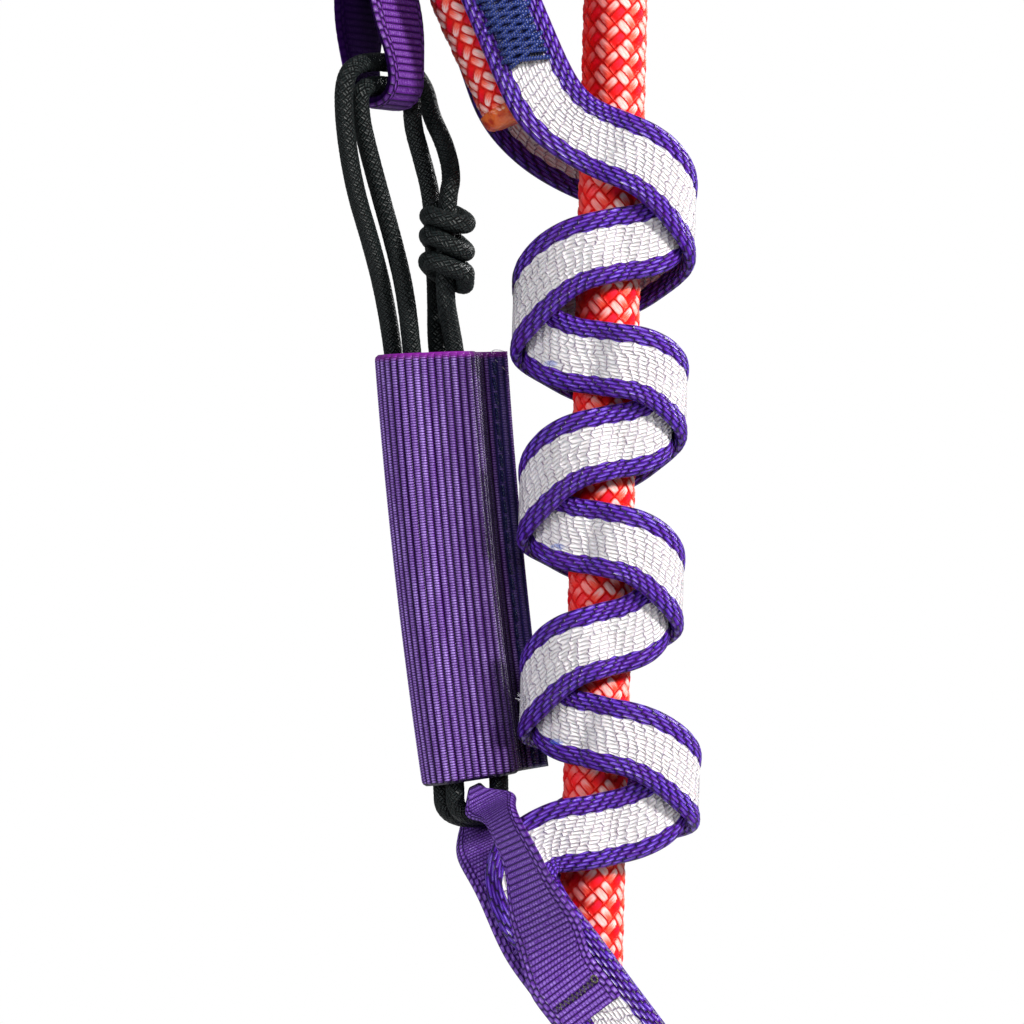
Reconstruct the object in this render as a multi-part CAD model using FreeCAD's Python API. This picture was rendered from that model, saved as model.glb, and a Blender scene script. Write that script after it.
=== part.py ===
import FreeCAD, Part
import math
import os
from FreeCAD import Vector

os.makedirs("parts", exist_ok=True)

# The rig is in millimetres with +Z up. The origin is the middle of the rope's upper bight, where
# the rope hangs over its support. The viewer's side is -Y.

# Rope
ROPE_D = 9.8
SHEATH_WALL = 1.1
BIGHT_R = 12.0
BIGHT_TURN = 206.2
TAIL_LENGTH = 18.4
ROPE_FOOT = -172.0
SEAL_H = 1.8
SEAL_ROUND = 1.2
MARKER_D = 0.5
CORE_FIT = 0.05
OUTER_STRANDS = 9
INNER_STRANDS = 3
STRAND_GAP = 0.2

# Webbing of the hitch
HITCH_W = 11.0
HITCH_T = 1.8
LAYER_GAP = 0.3
ROPE_GAP = 0.3

# Plain slings
SLING_W = 10.8
SLING_T = 1.4

# Black accessory cord
CORD_D = 2.85
CORD_GAP = 0.3

# Sleeve
SLEEVE_WALL = 1.1

# Stitching stands this far proud of the webbing
THREAD_T = 0.5

# Heights in the lists below are taken from this level, and distances across from the rope's axis.
LEVEL = -4.7

# The hitch. Each leg winds round the rope, and its height is given for every quarter turn, from the
# front, or from the back for the leg that starts there.
FRONT_LEG_HEIGHTS = [-22.3, -29.8, -42.5, -51.5, -53.95, -56.6, -69.0, -79.0, -80.7, -85.2, -96.0, -107.0,
                     -109.4, -114.5, -123.5, -133.2]
BACK_LEG_HEIGHTS = [-25.5, -35.0, -37.2, -44.6, -55.7, -64.3, -66.5, -72.7, -82.5, -92.0, -95.8, -101.8,
                    -109.7, -119.0, -124.1]
# How far the hitch reaches from the rope's axis at each side, down to the height given with it.
RIGHT_REACH = [(-43.0, 12.1), (-70.0, 11.5), (-97.0, 11.7), (-140.0, 14.9)]
LEFT_REACH = [(-56.5, 13.5), (-84.0, 11.8), (-113.0, 10.9), (-140.0, 10.6)]
BACK_STEEPNESS = 1.2
CHANGE_OVER = 0.24
KEY_ANGLE = 10
# Where a leg leaves the front at the rope's side it sags, and on the side where it comes to the front
# it rides high: by how much, at which angle from the front, and how far from there it has run out.
SIDE_SAG = 3.4
SIDE_SAG_AT = 85.0
SIDE_SAG_REACH = 70.0
SIDE_RISE = 2.4
SIDE_RISE_AT = -80.0
SIDE_RISE_REACH = 65.0

# The leads from the hitch up to the eyes: a point on each, its slope and the eye's size.
FRONT_LEAD = (-12.9, -10.2)
FRONT_LEAD_LEAN = 24.5
BACK_LEAD = (-17.6, -9.4)
BACK_LEAD_LEAN = 22.1
EYE_START = 19.0
EYE_STRAIGHT = 16.0
EYE_R = 5.4
LEAD_END = -1.0

# The lower end of the hitch's legs, where both run down and across to the lower eye.
TACK_WAY = 51.7
TURN_MIDDLE = (-4.6, -131.2)
TURN_R = 6.2
TURN_W = 10.4
LOWER_EYE_START = 32.0
LOWER_EYE_STRAIGHT = 20.0
LOWER_EYE_R = 5.2

# Where the lower sling lies on the hitch: how far to the side of its legs and how far down, and its tack.
STRAP_OFFSET = -2.4
STRAP_END = 18.6
ZIGZAG_AT = 14.6
ZIGZAG_L = 1.4
ZIGZAG_W = 7.8

# The bar tacks of the two eyes, and how far every tack stands off the webbing under it.
BAR_TACK_L = 14.0
BAR_TACK_W = 5.6
TACK_SEAT = 0.05

# The tether. Its middle plane lies behind the rope's, and inside the cord's lower bights the sling is
# gathered round as a pin.
TETHER_Y = 2.5
PIN_AT = (-17.6, -119.3)
PIN_D = 2.4
PIN_LENGTH = 7.2

# The black cord is one cord laid twice round, so that two strands run down on the left and two on the
# right. Across, back and up, from the rope's axis and the level. It starts and ends in the knot.
KNOT_AT = (-24.4, -2.0)
KNOT_TOP = -31.0
KNOT_FOOT = -44.3
KNOT_MIDDLE = -37.6
KNOT_ENDS_GAP = 0.6
CORD_ROUTE = [
    (-24.4, -2.0, -30.5),
    (-23.7, 0.6, -27.0),
    (-25.0, 4.2, -22.0),
    (-27.3, 6.6, -17.6),
    (-28.2, 7.3, -13.4),
    (-31.0, 3.7, -10.2),
    (-37.6, -4.7, -10.4),
    (-40.1, -8.0, -13.0),
    (-39.9, -7.9, -20.0),
    (-38.2, -5.6, -29.4),
    (-35.6, -2.2, -37.3),
    (-33.6, 1.8, -44.5),
    (-31.8, 3.7, -54.0),
    (-27.3, 4.4, -86.0),
    (-22.9, 4.2, -117.0),
    (-22.7, 4.2, -123.2),
    (-14.3, 4.8, -123.2),
    (-14.4, 4.9, -114.0),
    (-20.0, 5.0, -84.0),
    (-25.5, 4.2, -54.0),
    (-25.7, 4.3, -44.5),
    (-26.3, 4.6, -37.0),
    (-26.8, 4.7, -29.8),
    (-28.6, 4.8, -23.6),
    (-30.0, 4.6, -19.2),
    (-30.2, 4.3, -13.75),
    (-37.8, -5.3, -13.75),
    (-37.6, -5.2, -18.6),
    (-36.5, -4.6, -23.0),
    (-34.5, -3.2, -29.8),
    (-32.2, -1.2, -37.3),
    (-30.3, 0.4, -44.5),
    (-29.0, 1.7, -54.0),
    (-25.0, 2.0, -86.0),
    (-20.9, 0.9, -117.0),
    (-20.9, 0.9, -122.6),
    (-14.35, 1.5, -122.6),
    (-14.55, 1.6, -114.0),
    (-18.3, 1.9, -84.0),
    (-22.5, 2.2, -54.0),
    (-23.5, 1.5, -49.2),
    (-24.4, -2.0, -44.8),
]
KNOT_TURNS = 3.25
KNOT_PITCH = 3.3

# The sleeve: the middles of its two ends, the slope of its rims and half the width of its tube.
SLEEVE_TOP = (-27.0, -53.5)
SLEEVE_FOOT = (-18.6, -117.3)
SLEEVE_TOP_SLOPE = 3.7
SLEEVE_FOOT_SLOPE = 10.0
SLEEVE_TOP_HALF = 7.8
SLEEVE_FOOT_HALF = 7.4
FLANGE_W = 4.4
# Across, as a share of the half width, and back from the tether's own plane.
SLEEVE_OUTLINE = [(1.0, 4.4), (1.0, 1.0), (0.92, -2.6), (0.52, -4.3), (0.0, -4.7), (-0.5, -4.2), (-0.87, -2.0),
                  (-1.0, 1.2), (-0.87, 3.8), (-0.5, 5.2), (0.0, 5.9), (0.5, 6.3), (0.93, 6.5)]
# The flange: front and back faces at its root and at its tip, and how far its root reaches into the tube.
FLANGE_ROOT = (4.3, 6.4)
FLANGE_TIP = (6.0, 8.2)
FLANGE_FRONT_INSET = 0.4
FLANGE_BACK_INSET = 0.8
SEAM_HALF = 0.5
SEAM_SEAT = 0.06
SEAM_OVERHANG = 1.2

# The upper sling: its fold lies under the cord's upper bights, and its width is turned about Z.
UPPER_AT = (-34.3, -0.5, -12.3)
UPPER_TURN = 52.0
UPPER_LEAN = -0.12
UPPER_FOLD_R = 4.2
UPPER_FOLD_W = 7.6
UPPER_FOLD_T = 1.9
UPPER_GATHER_H = 7.0
UPPER_TACK = (13.0, 19.0)
UPPER_EYE_R = 9.2
UPPER_EYE_AT = 36.0
UPPER_TACK_W = 8.0
UPPER_TACK_SEAT = 0.25
UPPER_TACK_END = 0.5

# How finely strips are built: points across, in half widths, and the distance between sections.
RAILS = (-1.0, -0.5, 0.0, 0.5, 1.0)
SECTION_STEP = 2.5
LOWER_SLING_STEP = 1.6
UPPER_SLING_STEP = 2.0
SECTIONS_PER_SKIN = 8
CHAMFER_SHARE = 0.4
BEND_SHARE = 0.45

ROPE_R = ROPE_D / 2
HALF_STEP = (HITCH_T + LAYER_GAP) / 2
HITCH_DEPTH = ROPE_R + ROPE_GAP + HITCH_T / 2 + HALF_STEP


def at(x, y, z):
    """The point x to the right of the rope's axis, y behind it and z above the level."""
    return Vector(BIGHT_R + x, y, LEVEL + z)


def unit(v):
    return v * (1.0 / v.Length)


def between(table, z):
    """The value at height z in a list of (height, value) that goes down."""
    if z >= table[0][0]:
        return table[0][1]
    for (z0, v0), (z1, v1) in zip(table, table[1:]):
        if z >= z1:
            return v0 + (v1 - v0) * (z0 - z) / (z0 - z1)
    return table[-1][1]


def save(shape, name):
    if shape.ShapeType != "Solid":
        shape = shape.Solids[0]
    shape.exportStep("parts/%s.step" % name)
    box = shape.BoundBox
    print("%-22s vol %9.1f  valid %s  x %.1f..%.1f y %.1f..%.1f z %.1f..%.1f" % (
        name, shape.Volume, shape.isValid(), box.XMin, box.XMax, box.YMin, box.YMax, box.ZMin, box.ZMax))
    return shape


def flat(middle, across, width, thick):
    """A place of a strip that lies flat: points across its width, and its thickness."""
    return [middle + unit(across) * (width / 2 * share) for share in RAILS], thick


def webbing_section(points, along, thick):
    """A section with chamfered edges through points across a strip, which may be bowed."""
    half = thick / 2
    chamfer = CHAMFER_SHARE * min((points[-1] - points[0]).Length / 2, half)
    sides, normals = [], []
    for i in range(len(points)):
        side = unit(points[min(i + 1, len(points) - 1)] - points[max(i - 1, 0)])
        sides.append(side)
        normals.append(unit(along.cross(side)))
    inset = [points[0] + sides[0] * chamfer] + points[1:-1] + [points[-1] - sides[-1] * chamfer]
    under = [p - n * half for p, n in zip(inset, normals)]
    over = [p + n * half for p, n in zip(inset, normals)]
    rim = half - chamfer
    right = [points[-1] - normals[-1] * rim, points[-1] + normals[-1] * rim]
    left = [points[0] + normals[0] * rim, points[0] - normals[0] * rim]
    return under + right + over[::-1] + left


def skinned(sections, places):
    """A solid whose long edges run smoothly through the corners of each section, in spans."""
    curves = []
    for corner in zip(*sections):
        line = Part.BSplineCurve()
        line.interpolate(Points=list(corner), Parameters=places)
        curves.append(line)
    stops = places[:-SECTIONS_PER_SKIN:SECTIONS_PER_SKIN] + places[-1:]
    faces = []
    for start, end in zip(stops, stops[1:]):
        lines = [c.toShape(start, end) for c in curves]
        faces += [Part.makeRuledSurface(a, b, 1) for a, b in zip(lines, lines[1:] + lines[:1])]
    faces += [Part.Face(Part.makePolygon(s + s[:1])) for s in (sections[0], sections[-1])]
    shell = Part.makeShell(faces)
    shell.sewShape()
    solid = Part.Solid(shell if shell.ShapeType == "Shell" else shell.Shells[0])
    if solid.Volume < 0:
        solid.reverse()
    return solid


def ribbon(keys, step=SECTION_STEP):
    """A strip of webbing through places, each given as points across it and a thickness."""
    middles = [points[len(points) // 2] for points, thick in keys]
    places = [0.0]
    for a, b in zip(middles, middles[1:]):
        places.append(places[-1] + (b - a).Length)
    rails = []
    for points in zip(*[k[0] for k in keys]):
        first = (points[1] - points[0]) * (1 / (places[1] - places[0]))
        last = (points[-1] - points[-2]) * (1 / (places[-1] - places[-2]))
        line = Part.BSplineCurve()
        line.interpolate(Points=list(points), Parameters=places, InitialTangent=first, FinalTangent=last)
        rails.append(line)
    sections = []
    count = max(2, int(round(places[-1] / step)))
    steps = [places[-1] * i / count for i in range(count + 1)]
    spot = 0
    for u in steps:
        while spot < len(places) - 2 and places[spot + 1] < u:
            spot += 1
        share = (u - places[spot]) / (places[spot + 1] - places[spot])
        thick = keys[spot][1] + (keys[spot + 1][1] - keys[spot][1]) * share
        along = unit(rails[len(rails) // 2].tangent(u)[0])
        sections.append(webbing_section([r.value(u) for r in rails], along, thick))
    return skinned(sections, steps)


def rounded_path(points):
    """Straight runs through the points, joined by tangent arcs as large as the runs allow."""
    edges = []
    start = points[0]
    least = 1e9
    for before, corner, after in zip(points, points[1:], points[2:]):
        a, b = corner - before, after - corner
        turn = a.getAngle(b)
        reach = BEND_SHARE * min(a.Length, b.Length)
        radius = reach / math.tan(turn / 2)
        least = min(least, radius)
        first, last = corner - unit(a) * reach, corner + unit(b) * reach
        bisector = unit(unit(b) - unit(a))
        middle = corner + bisector * (radius / math.cos(turn / 2) - radius)
        edges.append(Part.LineSegment(start, first).toShape())
        edges.append(Part.Arc(first, middle, last).toShape())
        start = last
    edges.append(Part.LineSegment(start, points[-1]).toShape())
    return Part.Wire(edges), least


def tube(points, diameter, name):
    path, least = rounded_path(points)
    along = unit(points[1] - points[0])
    ring = Part.Wire(Part.Circle(points[0], along, diameter / 2).toShape())
    solid = path.makePipeShell([ring], True, False)
    section = math.pi * diameter * diameter / 4
    print("%s: length %.1f, least radius %.1f, volume share %.4f" % (
        name, path.Length, least, solid.Volume / (section * path.Length)))
    return solid


def tail_direction():
    turn = math.radians(BIGHT_TURN)
    return Vector(-math.sin(turn), 0, math.cos(turn))


def tail_start(radius, dy):
    """Where the bight ends and the straight upper tail starts."""
    turn = math.radians(BIGHT_TURN)
    return Vector(radius * math.cos(turn), dy, radius * math.sin(turn))


def strand(dx, dy, diameter):
    """A round strand along the rope's route, dx out from the bight's middle line and dy back."""
    radius = BIGHT_R + dx
    half = math.radians(BIGHT_TURN) / 2
    foot = Vector(radius, dy, ROPE_FOOT)
    side = Vector(radius, dy, 0)
    peak = Vector(radius * math.cos(half), dy, radius * math.sin(half))
    leave = tail_start(radius, dy)
    path = Part.Wire([
        Part.LineSegment(foot, side).toShape(),
        Part.Arc(side, peak, leave).toShape(),
        Part.LineSegment(leave, leave + tail_direction() * TAIL_LENGTH).toShape(),
    ])
    ring = Part.Wire(Part.Circle(foot, Vector(0, 0, 1), diameter / 2).toShape())
    return path.makePipeShell([ring], True, False)


def seal(centre, along):
    """A melted end: a short plug with a rounded rim that covers the cut."""
    plug = Part.makeCylinder(ROPE_R, SEAL_H, centre, along)
    rims = [e for e in plug.Edges if isinstance(e.Curve, Part.Circle)]
    far = max(rims, key=lambda e: (e.Curve.Center - centre).Length)
    return plug.makeFillet(SEAL_ROUND, [far])


def rope():
    """The sheath, the core's strands in two rings round the marker yarn, and both melted ends."""
    core_r = ROPE_R - SHEATH_WALL
    save(strand(0, 0, ROPE_D).cut(strand(0, 0, 2 * core_r)), "rope_sheath")
    half = math.pi / OUTER_STRANDS
    room = core_r - CORE_FIT
    strand_d = (2 * room * math.sin(half) - STRAND_GAP) / (1 + math.sin(half))
    rings = [(INNER_STRANDS, (strand_d + MARKER_D) / 2 + CORE_FIT, 0.0),
             (OUTER_STRANDS, room - strand_d / 2, half)]
    number = 0
    for count, radius, turned in rings:
        for i in range(count):
            a = turned + 2 * math.pi * i / count
            number += 1
            save(strand(radius * math.cos(a), radius * math.sin(a), strand_d), "core_strand_%02d" % number)
    save(strand(0, 0, MARKER_D), "core_marker_yarn")
    tail_end = tail_start(BIGHT_R, 0) + tail_direction() * TAIL_LENGTH
    save(seal(tail_end, tail_direction()), "rope_tail_seal")
    save(seal(Vector(BIGHT_R, 0, ROPE_FOOT), Vector(0, 0, -1)), "rope_end_seal")


def winding_height(heights, quarter):
    """The height at a place counted in quarter turns, smooth through the listed heights."""
    i = min(int(quarter), len(heights) - 2)
    t = quarter - i
    ends = [2 * heights[0] - heights[1]] + heights + [2 * heights[-1] - heights[-2]]
    before, a, b, after = ends[i:i + 4]
    slope_a, slope_b = (b - before) / 2, (after - a) / 2
    return ((2 * t ** 3 - 3 * t ** 2 + 1) * a + (t ** 3 - 2 * t ** 2 + t) * slope_a
            + (3 * t ** 2 - 2 * t ** 3) * b + (t ** 3 - t ** 2) * slope_b)


def swell(phi, centre, reach):
    """1 at the centre, an angle in degrees, and smoothly 0 at the reach away from it."""
    away = abs((math.degrees(phi) - centre + 180) % 360 - 180)
    return math.cos(math.radians(90 * min(away / reach, 1.0))) ** 2


def wrapped(phi, reach, hand, lift):
    """A point of the oval that the legs follow round the rope, lifted outward. Hand is 1 for the leg
    that goes to the right at the front, and -1 for its mirror image."""
    s, c = math.sin(phi), math.cos(phi)
    out = unit(Vector(hand * s / reach, -c / HITCH_DEPTH, 0))
    return Vector(hand * reach * s, -HITCH_DEPTH * c, 0) + out * lift


def winding_place(heights, quarter, first_quarter, hand):
    """The angle, the oval's reach, the layer's lift and the height of a leg at a quarter turn."""
    phi = (quarter + first_quarter) * math.pi / 2
    s = math.sin(phi)
    z = winding_height(heights, quarter) + BACK_STEEPNESS * math.sin(2 * phi) * math.sin(phi / 2) ** 2
    z += SIDE_RISE * swell(phi, SIDE_RISE_AT, SIDE_RISE_REACH)
    z -= SIDE_SAG * swell(phi, SIDE_SAG_AT, SIDE_SAG_REACH)
    table = RIGHT_REACH if s * hand > 0 else LEFT_REACH
    reach = [value for low, value in table if z >= low][0] - HALF_STEP
    lift = HALF_STEP * math.sin(math.pi / 2 * max(-1.0, min(1.0, s / CHANGE_OVER)))
    return phi, reach, lift, z


def winding_keys(heights, first_quarter, hand):
    """The places of a leg, bowed across its width to lie on the oval."""
    keys = []
    turns = len(heights) - 1
    count = turns * 90 // KEY_ANGLE
    small = 0.01
    for i in range(count + 1):
        quarter = turns * i / count
        phi, reach, lift, z = winding_place(heights, quarter, first_quarter, hand)
        ahead = small if quarter < turns - small else -small
        rise = (winding_place(heights, quarter + ahead, first_quarter, hand)[3] - z) / ahead
        run = (wrapped(phi + small, reach, hand, lift) - wrapped(phi, reach, hand, lift)).Length / small
        run *= math.pi / 2
        slope = math.atan2(rise, run)
        points = []
        for share in RAILS:
            aside = share * HITCH_W / 2
            angle = phi
            steps = 6
            for _ in range(steps):
                here = wrapped(angle, reach, hand, lift)
                speed = (wrapped(angle + small, reach, hand, lift) - here).Length / small
                angle += -aside * math.sin(slope) / steps / speed
            spot = wrapped(angle, reach, hand, lift)
            points.append(at(spot.x, spot.y, z + aside * math.cos(slope)))
        keys.append((points, HITCH_T))
    return keys


def lead_frame(place, lean, side):
    """The lead's starting point beside the rope, its way up and its width. Side is -1 in front."""
    a = math.radians(lean)
    up = Vector(-math.sin(a), 0, math.cos(a))
    inner = side * (ROPE_R + ROPE_GAP + HITCH_T / 2)
    return at(place[0], inner, place[1]), up, Vector(math.cos(a), 0, math.sin(a)), Vector(0, side, 0)


def eye_keys(place, lean, side):
    """From the folded-back end of the webbing up the inner layer, round the eye and down the lead."""
    base, up, across, out = lead_frame(place, lean, side)
    layer = HITCH_T + LAYER_GAP / 2
    top = EYE_START + EYE_STRAIGHT
    route = [(LEAD_END, 0.0), (EYE_START * 0.5, 0.0), (EYE_START, 0.0), (EYE_START + EYE_STRAIGHT * 0.5, 0.0)]
    for degrees in range(0, 181, 30):
        a = math.radians(degrees)
        route.append((top + EYE_R * math.sin(a), EYE_R * (1 - math.cos(a))))
    route += [(EYE_START + EYE_STRAIGHT * 0.62, 2 * EYE_R - 0.5),
              (EYE_START + EYE_STRAIGHT * 0.3, EYE_R * 1.05),
              (EYE_START, layer + 0.4), (EYE_START * 0.72, layer), (EYE_START * 0.36, layer), (0.0, layer)]
    return [flat(base + up * s + out * y, across, HITCH_W, HITCH_T) for s, y in route]


def lower_layer(number):
    """The depth of a layer of the lower sandwich: 0 lies on the rope, 3 is nearest the viewer."""
    thicknesses = [HITCH_T, SLING_T, HITCH_T, SLING_T]
    depth = ROPE_R + ROPE_GAP + LAYER_GAP
    for i in range(number):
        depth += thicknesses[i] + LAYER_GAP
    return -(depth + thicknesses[number] / 2)


def down_way():
    """The direction in which the lower sandwich runs down, and the one across it."""
    a = math.radians(TACK_WAY)
    return Vector(math.cos(a), 0, -math.sin(a)), Vector(math.sin(a), 0, math.cos(a))


def turn_point(degrees, depth):
    """A point of the back leg's last turn, by the angle round its middle, and the way out from there."""
    a = math.radians(degrees)
    out = Vector(math.cos(a), 0, math.sin(a))
    return at(TURN_MIDDLE[0], depth, TURN_MIDDLE[1]) + out * TURN_R, out


def along_tack(distance, depth, sideways=0.0):
    """A point down the line of the lower sandwich, from where the back leg's turn ends."""
    way, across = down_way()
    return turn_point(270 - TACK_WAY, depth)[0] + way * distance + across * sideways


def front_leg():
    """From its eye down in front, round the rope and along the rear of the lower sandwich."""
    across = down_way()[1]
    keys = eye_keys(FRONT_LEAD, FRONT_LEAD_LEAN, -1)
    keys.append(flat(at(-8.6, -HITCH_DEPTH - 0.7, -17.3), Vector(0.80, 0, 0.60), HITCH_W, HITCH_T))
    keys += winding_keys(FRONT_LEG_HEIGHTS, 0, 1)
    keys.append(flat(at(-8.0, -4.8, -135.4), Vector(0.55, -0.48, 0.66), HITCH_W, HITCH_T))
    distances = (8.0, 16.0, 24.0, LOWER_EYE_START)
    keys += [flat(along_tack(d, lower_layer(0)), across, HITCH_W, HITCH_T) for d in distances]
    return ribbon(keys)


def back_leg():
    """From its eye down behind, round the rope the other way and back over in a last turn."""
    across = down_way()[1]
    keys = eye_keys(BACK_LEAD, BACK_LEAD_LEAN, 1)
    keys.append(flat(at(-14.5, HITCH_DEPTH + 1.3, -16.2), Vector(0.87, 0, 0.50), HITCH_W, HITCH_T))
    keys.append(flat(at(-9.0, HITCH_DEPTH + 1.0, -21.3), Vector(0.55, 0, 0.83), HITCH_W, HITCH_T))
    keys += winding_keys(BACK_LEG_HEIGHTS, 2, -1)
    depths = [lower_layer(2) + 1.6, lower_layer(2) + 0.4, lower_layer(2) - 0.45]
    for degrees, depth in zip((105, 145, 185), depths):
        middle, out = turn_point(degrees, depth)
        keys.append(flat(middle, out, TURN_W, HITCH_T))
    settles = ((0.0, 0.3), (4.0, 0.12), (8.0, 0.0), (16.0, 0.0), (24.0, 0.0), (LOWER_EYE_START, 0.0))
    keys += [flat(along_tack(d, lower_layer(2) - lift), across * -1, HITCH_W, HITCH_T) for d, lift in settles]
    return ribbon(keys)


def lower_eye():
    """The loop that joins the two legs' lower ends."""
    across = down_way()[1]
    rear, fore = lower_layer(0), lower_layer(2)
    centre = (rear + fore) / 2
    low = LOWER_EYE_START + LOWER_EYE_STRAIGHT
    leaves, opens = LOWER_EYE_START + 1.2, LOWER_EYE_START + 5.6
    route = [(LOWER_EYE_START, rear), (leaves, rear), (opens, centre + LOWER_EYE_R - 1.2)]
    for degrees in range(0, 181, 30):
        a = math.radians(degrees)
        route.append((low + LOWER_EYE_R * math.sin(a), centre + LOWER_EYE_R * math.cos(a)))
    route += [(opens, centre - LOWER_EYE_R + 1.2), (leaves, fore), (LOWER_EYE_START, fore)]
    return ribbon([flat(along_tack(d, y), across, HITCH_W, HITCH_T) for d, y in route])


def hitch():
    front, back, eye = front_leg(), back_leg(), lower_eye()
    save(front, "hitch_leg_front")
    save(back, "hitch_leg_back")
    save(eye, "hitch_lower_eye")


def biarc(p0, t0, p1, t1):
    """Two arcs that join smoothly, from p0 along t0 to p1 along t1."""
    v = p1 - p0
    t = t0 + t1
    k = 2 * (1 - t0.dot(t1))
    d = (-v.dot(t) + math.sqrt(v.dot(t) ** 2 + k * v.dot(v))) / k
    joint = (p0 + p1 + (t0 - t1) * d) * 0.5
    arcs = []
    for start, end, heading, side in ((p0, joint, t0, 1), (joint, p1, t1, -1)):
        chord = end - start
        straight = unit(chord)
        aside = (heading - straight * heading.dot(straight)) * side
        bulge = chord.Length / 2 * math.tan(heading.getAngle(chord) / 2)
        arcs.append(Part.Arc(start, (start + end) * 0.5 + unit(aside) * bulge, end).toShape())
    return arcs


def knot():
    """The wraps of the knot: a helix round the strand inside it, with short straight ends."""
    radius = CORD_D + CORD_GAP / 2
    rise = KNOT_PITCH / (2 * math.pi)
    height = KNOT_TURNS * KNOT_PITCH
    low = (KNOT_TOP + KNOT_FOOT) / 2 - height / 2

    def spot(a):
        return at(KNOT_AT[0] + radius * math.cos(a), KNOT_AT[1] + radius * math.sin(a), low + rise * a)

    def heading(a):
        return unit(Vector(-radius * math.sin(a), radius * math.cos(a), rise))

    steps = int(round(KNOT_TURNS * 4))
    edges = [Part.LineSegment(spot(0) - heading(0) * CORD_D, spot(0)).toShape()]
    for i in range(steps):
        a, b = i * math.pi / 2, (i + 1) * math.pi / 2
        edges += biarc(spot(a), heading(a), spot(b), heading(b))
    end = steps * math.pi / 2
    edges.append(Part.LineSegment(spot(end), spot(end) + heading(end) * CORD_D).toShape())
    path = Part.Wire(edges)
    first = spot(0) - heading(0) * CORD_D
    ring = Part.Wire(Part.Circle(first, heading(0), CORD_D / 2).toShape())
    print("knot: gap between its turns %.2f" % (KNOT_PITCH * math.cos(math.atan(rise / radius)) - CORD_D))
    return path.makePipeShell([ring], True, False)


def least_gap(points, diameter, apart):
    """The least distance between stretches of a cord that lie more than a length apart along it."""
    path = rounded_path(points)[0]
    spots = path.discretize(Distance=1.0)
    best = 1e9
    for i, a in enumerate(spots):
        for b in spots[i + apart:]:
            best = min(best, (a - b).Length)
    return best - diameter


def cord_points():
    top = at(KNOT_AT[0], KNOT_AT[1], KNOT_MIDDLE + KNOT_ENDS_GAP / 2)
    foot = at(KNOT_AT[0], KNOT_AT[1], KNOT_MIDDLE - KNOT_ENDS_GAP / 2)
    return [top] + [at(*p) for p in CORD_ROUTE] + [foot]


def cords():
    points = cord_points()
    print("cord loop: least gap to itself %.2f" % least_gap(points[1:-1], CORD_D, 12))
    save(tube(points, CORD_D, "cord loop"), "cord_loop")
    save(knot(), "cord_knot")


def sleeve_section(place, slope, half, inner):
    """A closed outline of the tube at one end, or the same one a wall's thickness further in."""
    a = math.radians(slope)
    across = Vector(math.cos(a), 0, math.sin(a))
    middle = at(place[0], TETHER_Y, place[1])
    outline = [(half * u, y) for u, y in SLEEVE_OUTLINE]
    if inner:
        moved = []
        for i, (x, y) in enumerate(outline):
            bx, by = outline[i - 1]
            ax, ay = outline[(i + 1) % len(outline)]
            run = math.hypot(ax - bx, ay - by)
            moved.append((x + (ay - by) / run * SLEEVE_WALL, y - (ax - bx) / run * SLEEVE_WALL))
        outline = moved
    line = Part.BSplineCurve()
    line.interpolate(Points=[middle + across * x + Vector(0, y, 0) for x, y in outline], PeriodicFlag=True)
    return Part.Wire(line.toShape())


def sleeve_place(top, across, back):
    """A point of the sleeve's top or lower rim, across from the tube's edge and back from its plane."""
    place = SLEEVE_TOP if top else SLEEVE_FOOT
    slope = math.radians(SLEEVE_TOP_SLOPE if top else SLEEVE_FOOT_SLOPE)
    half = SLEEVE_TOP_HALF if top else SLEEVE_FOOT_HALF
    way = Vector(math.cos(slope), 0, math.sin(slope))
    return at(place[0], TETHER_Y, place[1]) + way * (half + across) + Vector(0, back, 0)


def ruled(sections):
    """A solid between two four-cornered sections, given as lists of points."""
    return Part.makeLoft([Part.makePolygon(p + p[:1]) for p in sections], True, True)


def sleeve():
    """The tube round the strands, with the two edges of its webbing sewn together as a flange."""
    halves = []
    for inner in (False, True):
        halves.append(Part.makeLoft([
            sleeve_section(SLEEVE_TOP, SLEEVE_TOP_SLOPE, SLEEVE_TOP_HALF, inner),
            sleeve_section(SLEEVE_FOOT, SLEEVE_FOOT_SLOPE, SLEEVE_FOOT_HALF, inner)], True, True))
    flange = ruled([[sleeve_place(top, -FLANGE_FRONT_INSET, FLANGE_ROOT[0]),
                     sleeve_place(top, FLANGE_W, FLANGE_TIP[0]),
                     sleeve_place(top, FLANGE_W, FLANGE_TIP[1]),
                     sleeve_place(top, -FLANGE_BACK_INSET, FLANGE_ROOT[1])]
                    for top in (True, False)])
    return halves[0].fuse(flange).cut(halves[1])


def seam_thread():
    """The line of stitches down the middle of the flange, on the viewer's side."""
    middle = FLANGE_W * 0.5
    slant = (FLANGE_TIP[0] - FLANGE_ROOT[0]) / (FLANGE_W + FLANGE_FRONT_INSET)
    face = FLANGE_ROOT[0] + slant * (middle + FLANGE_FRONT_INSET)
    lift = slant * SEAM_HALF
    front = face - THREAD_T - SEAM_SEAT
    sections = []
    for top, height in ((True, -SEAM_OVERHANG), (False, SEAM_OVERHANG)):
        up = Vector(0, 0, height)
        sections.append([sleeve_place(top, middle - SEAM_HALF, front - lift) + up,
                         sleeve_place(top, middle + SEAM_HALF, front + lift) + up,
                         sleeve_place(top, middle + SEAM_HALF, front + lift + THREAD_T) + up,
                         sleeve_place(top, middle - SEAM_HALF, front - lift + THREAD_T) + up])
    return ruled(sections)


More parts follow.
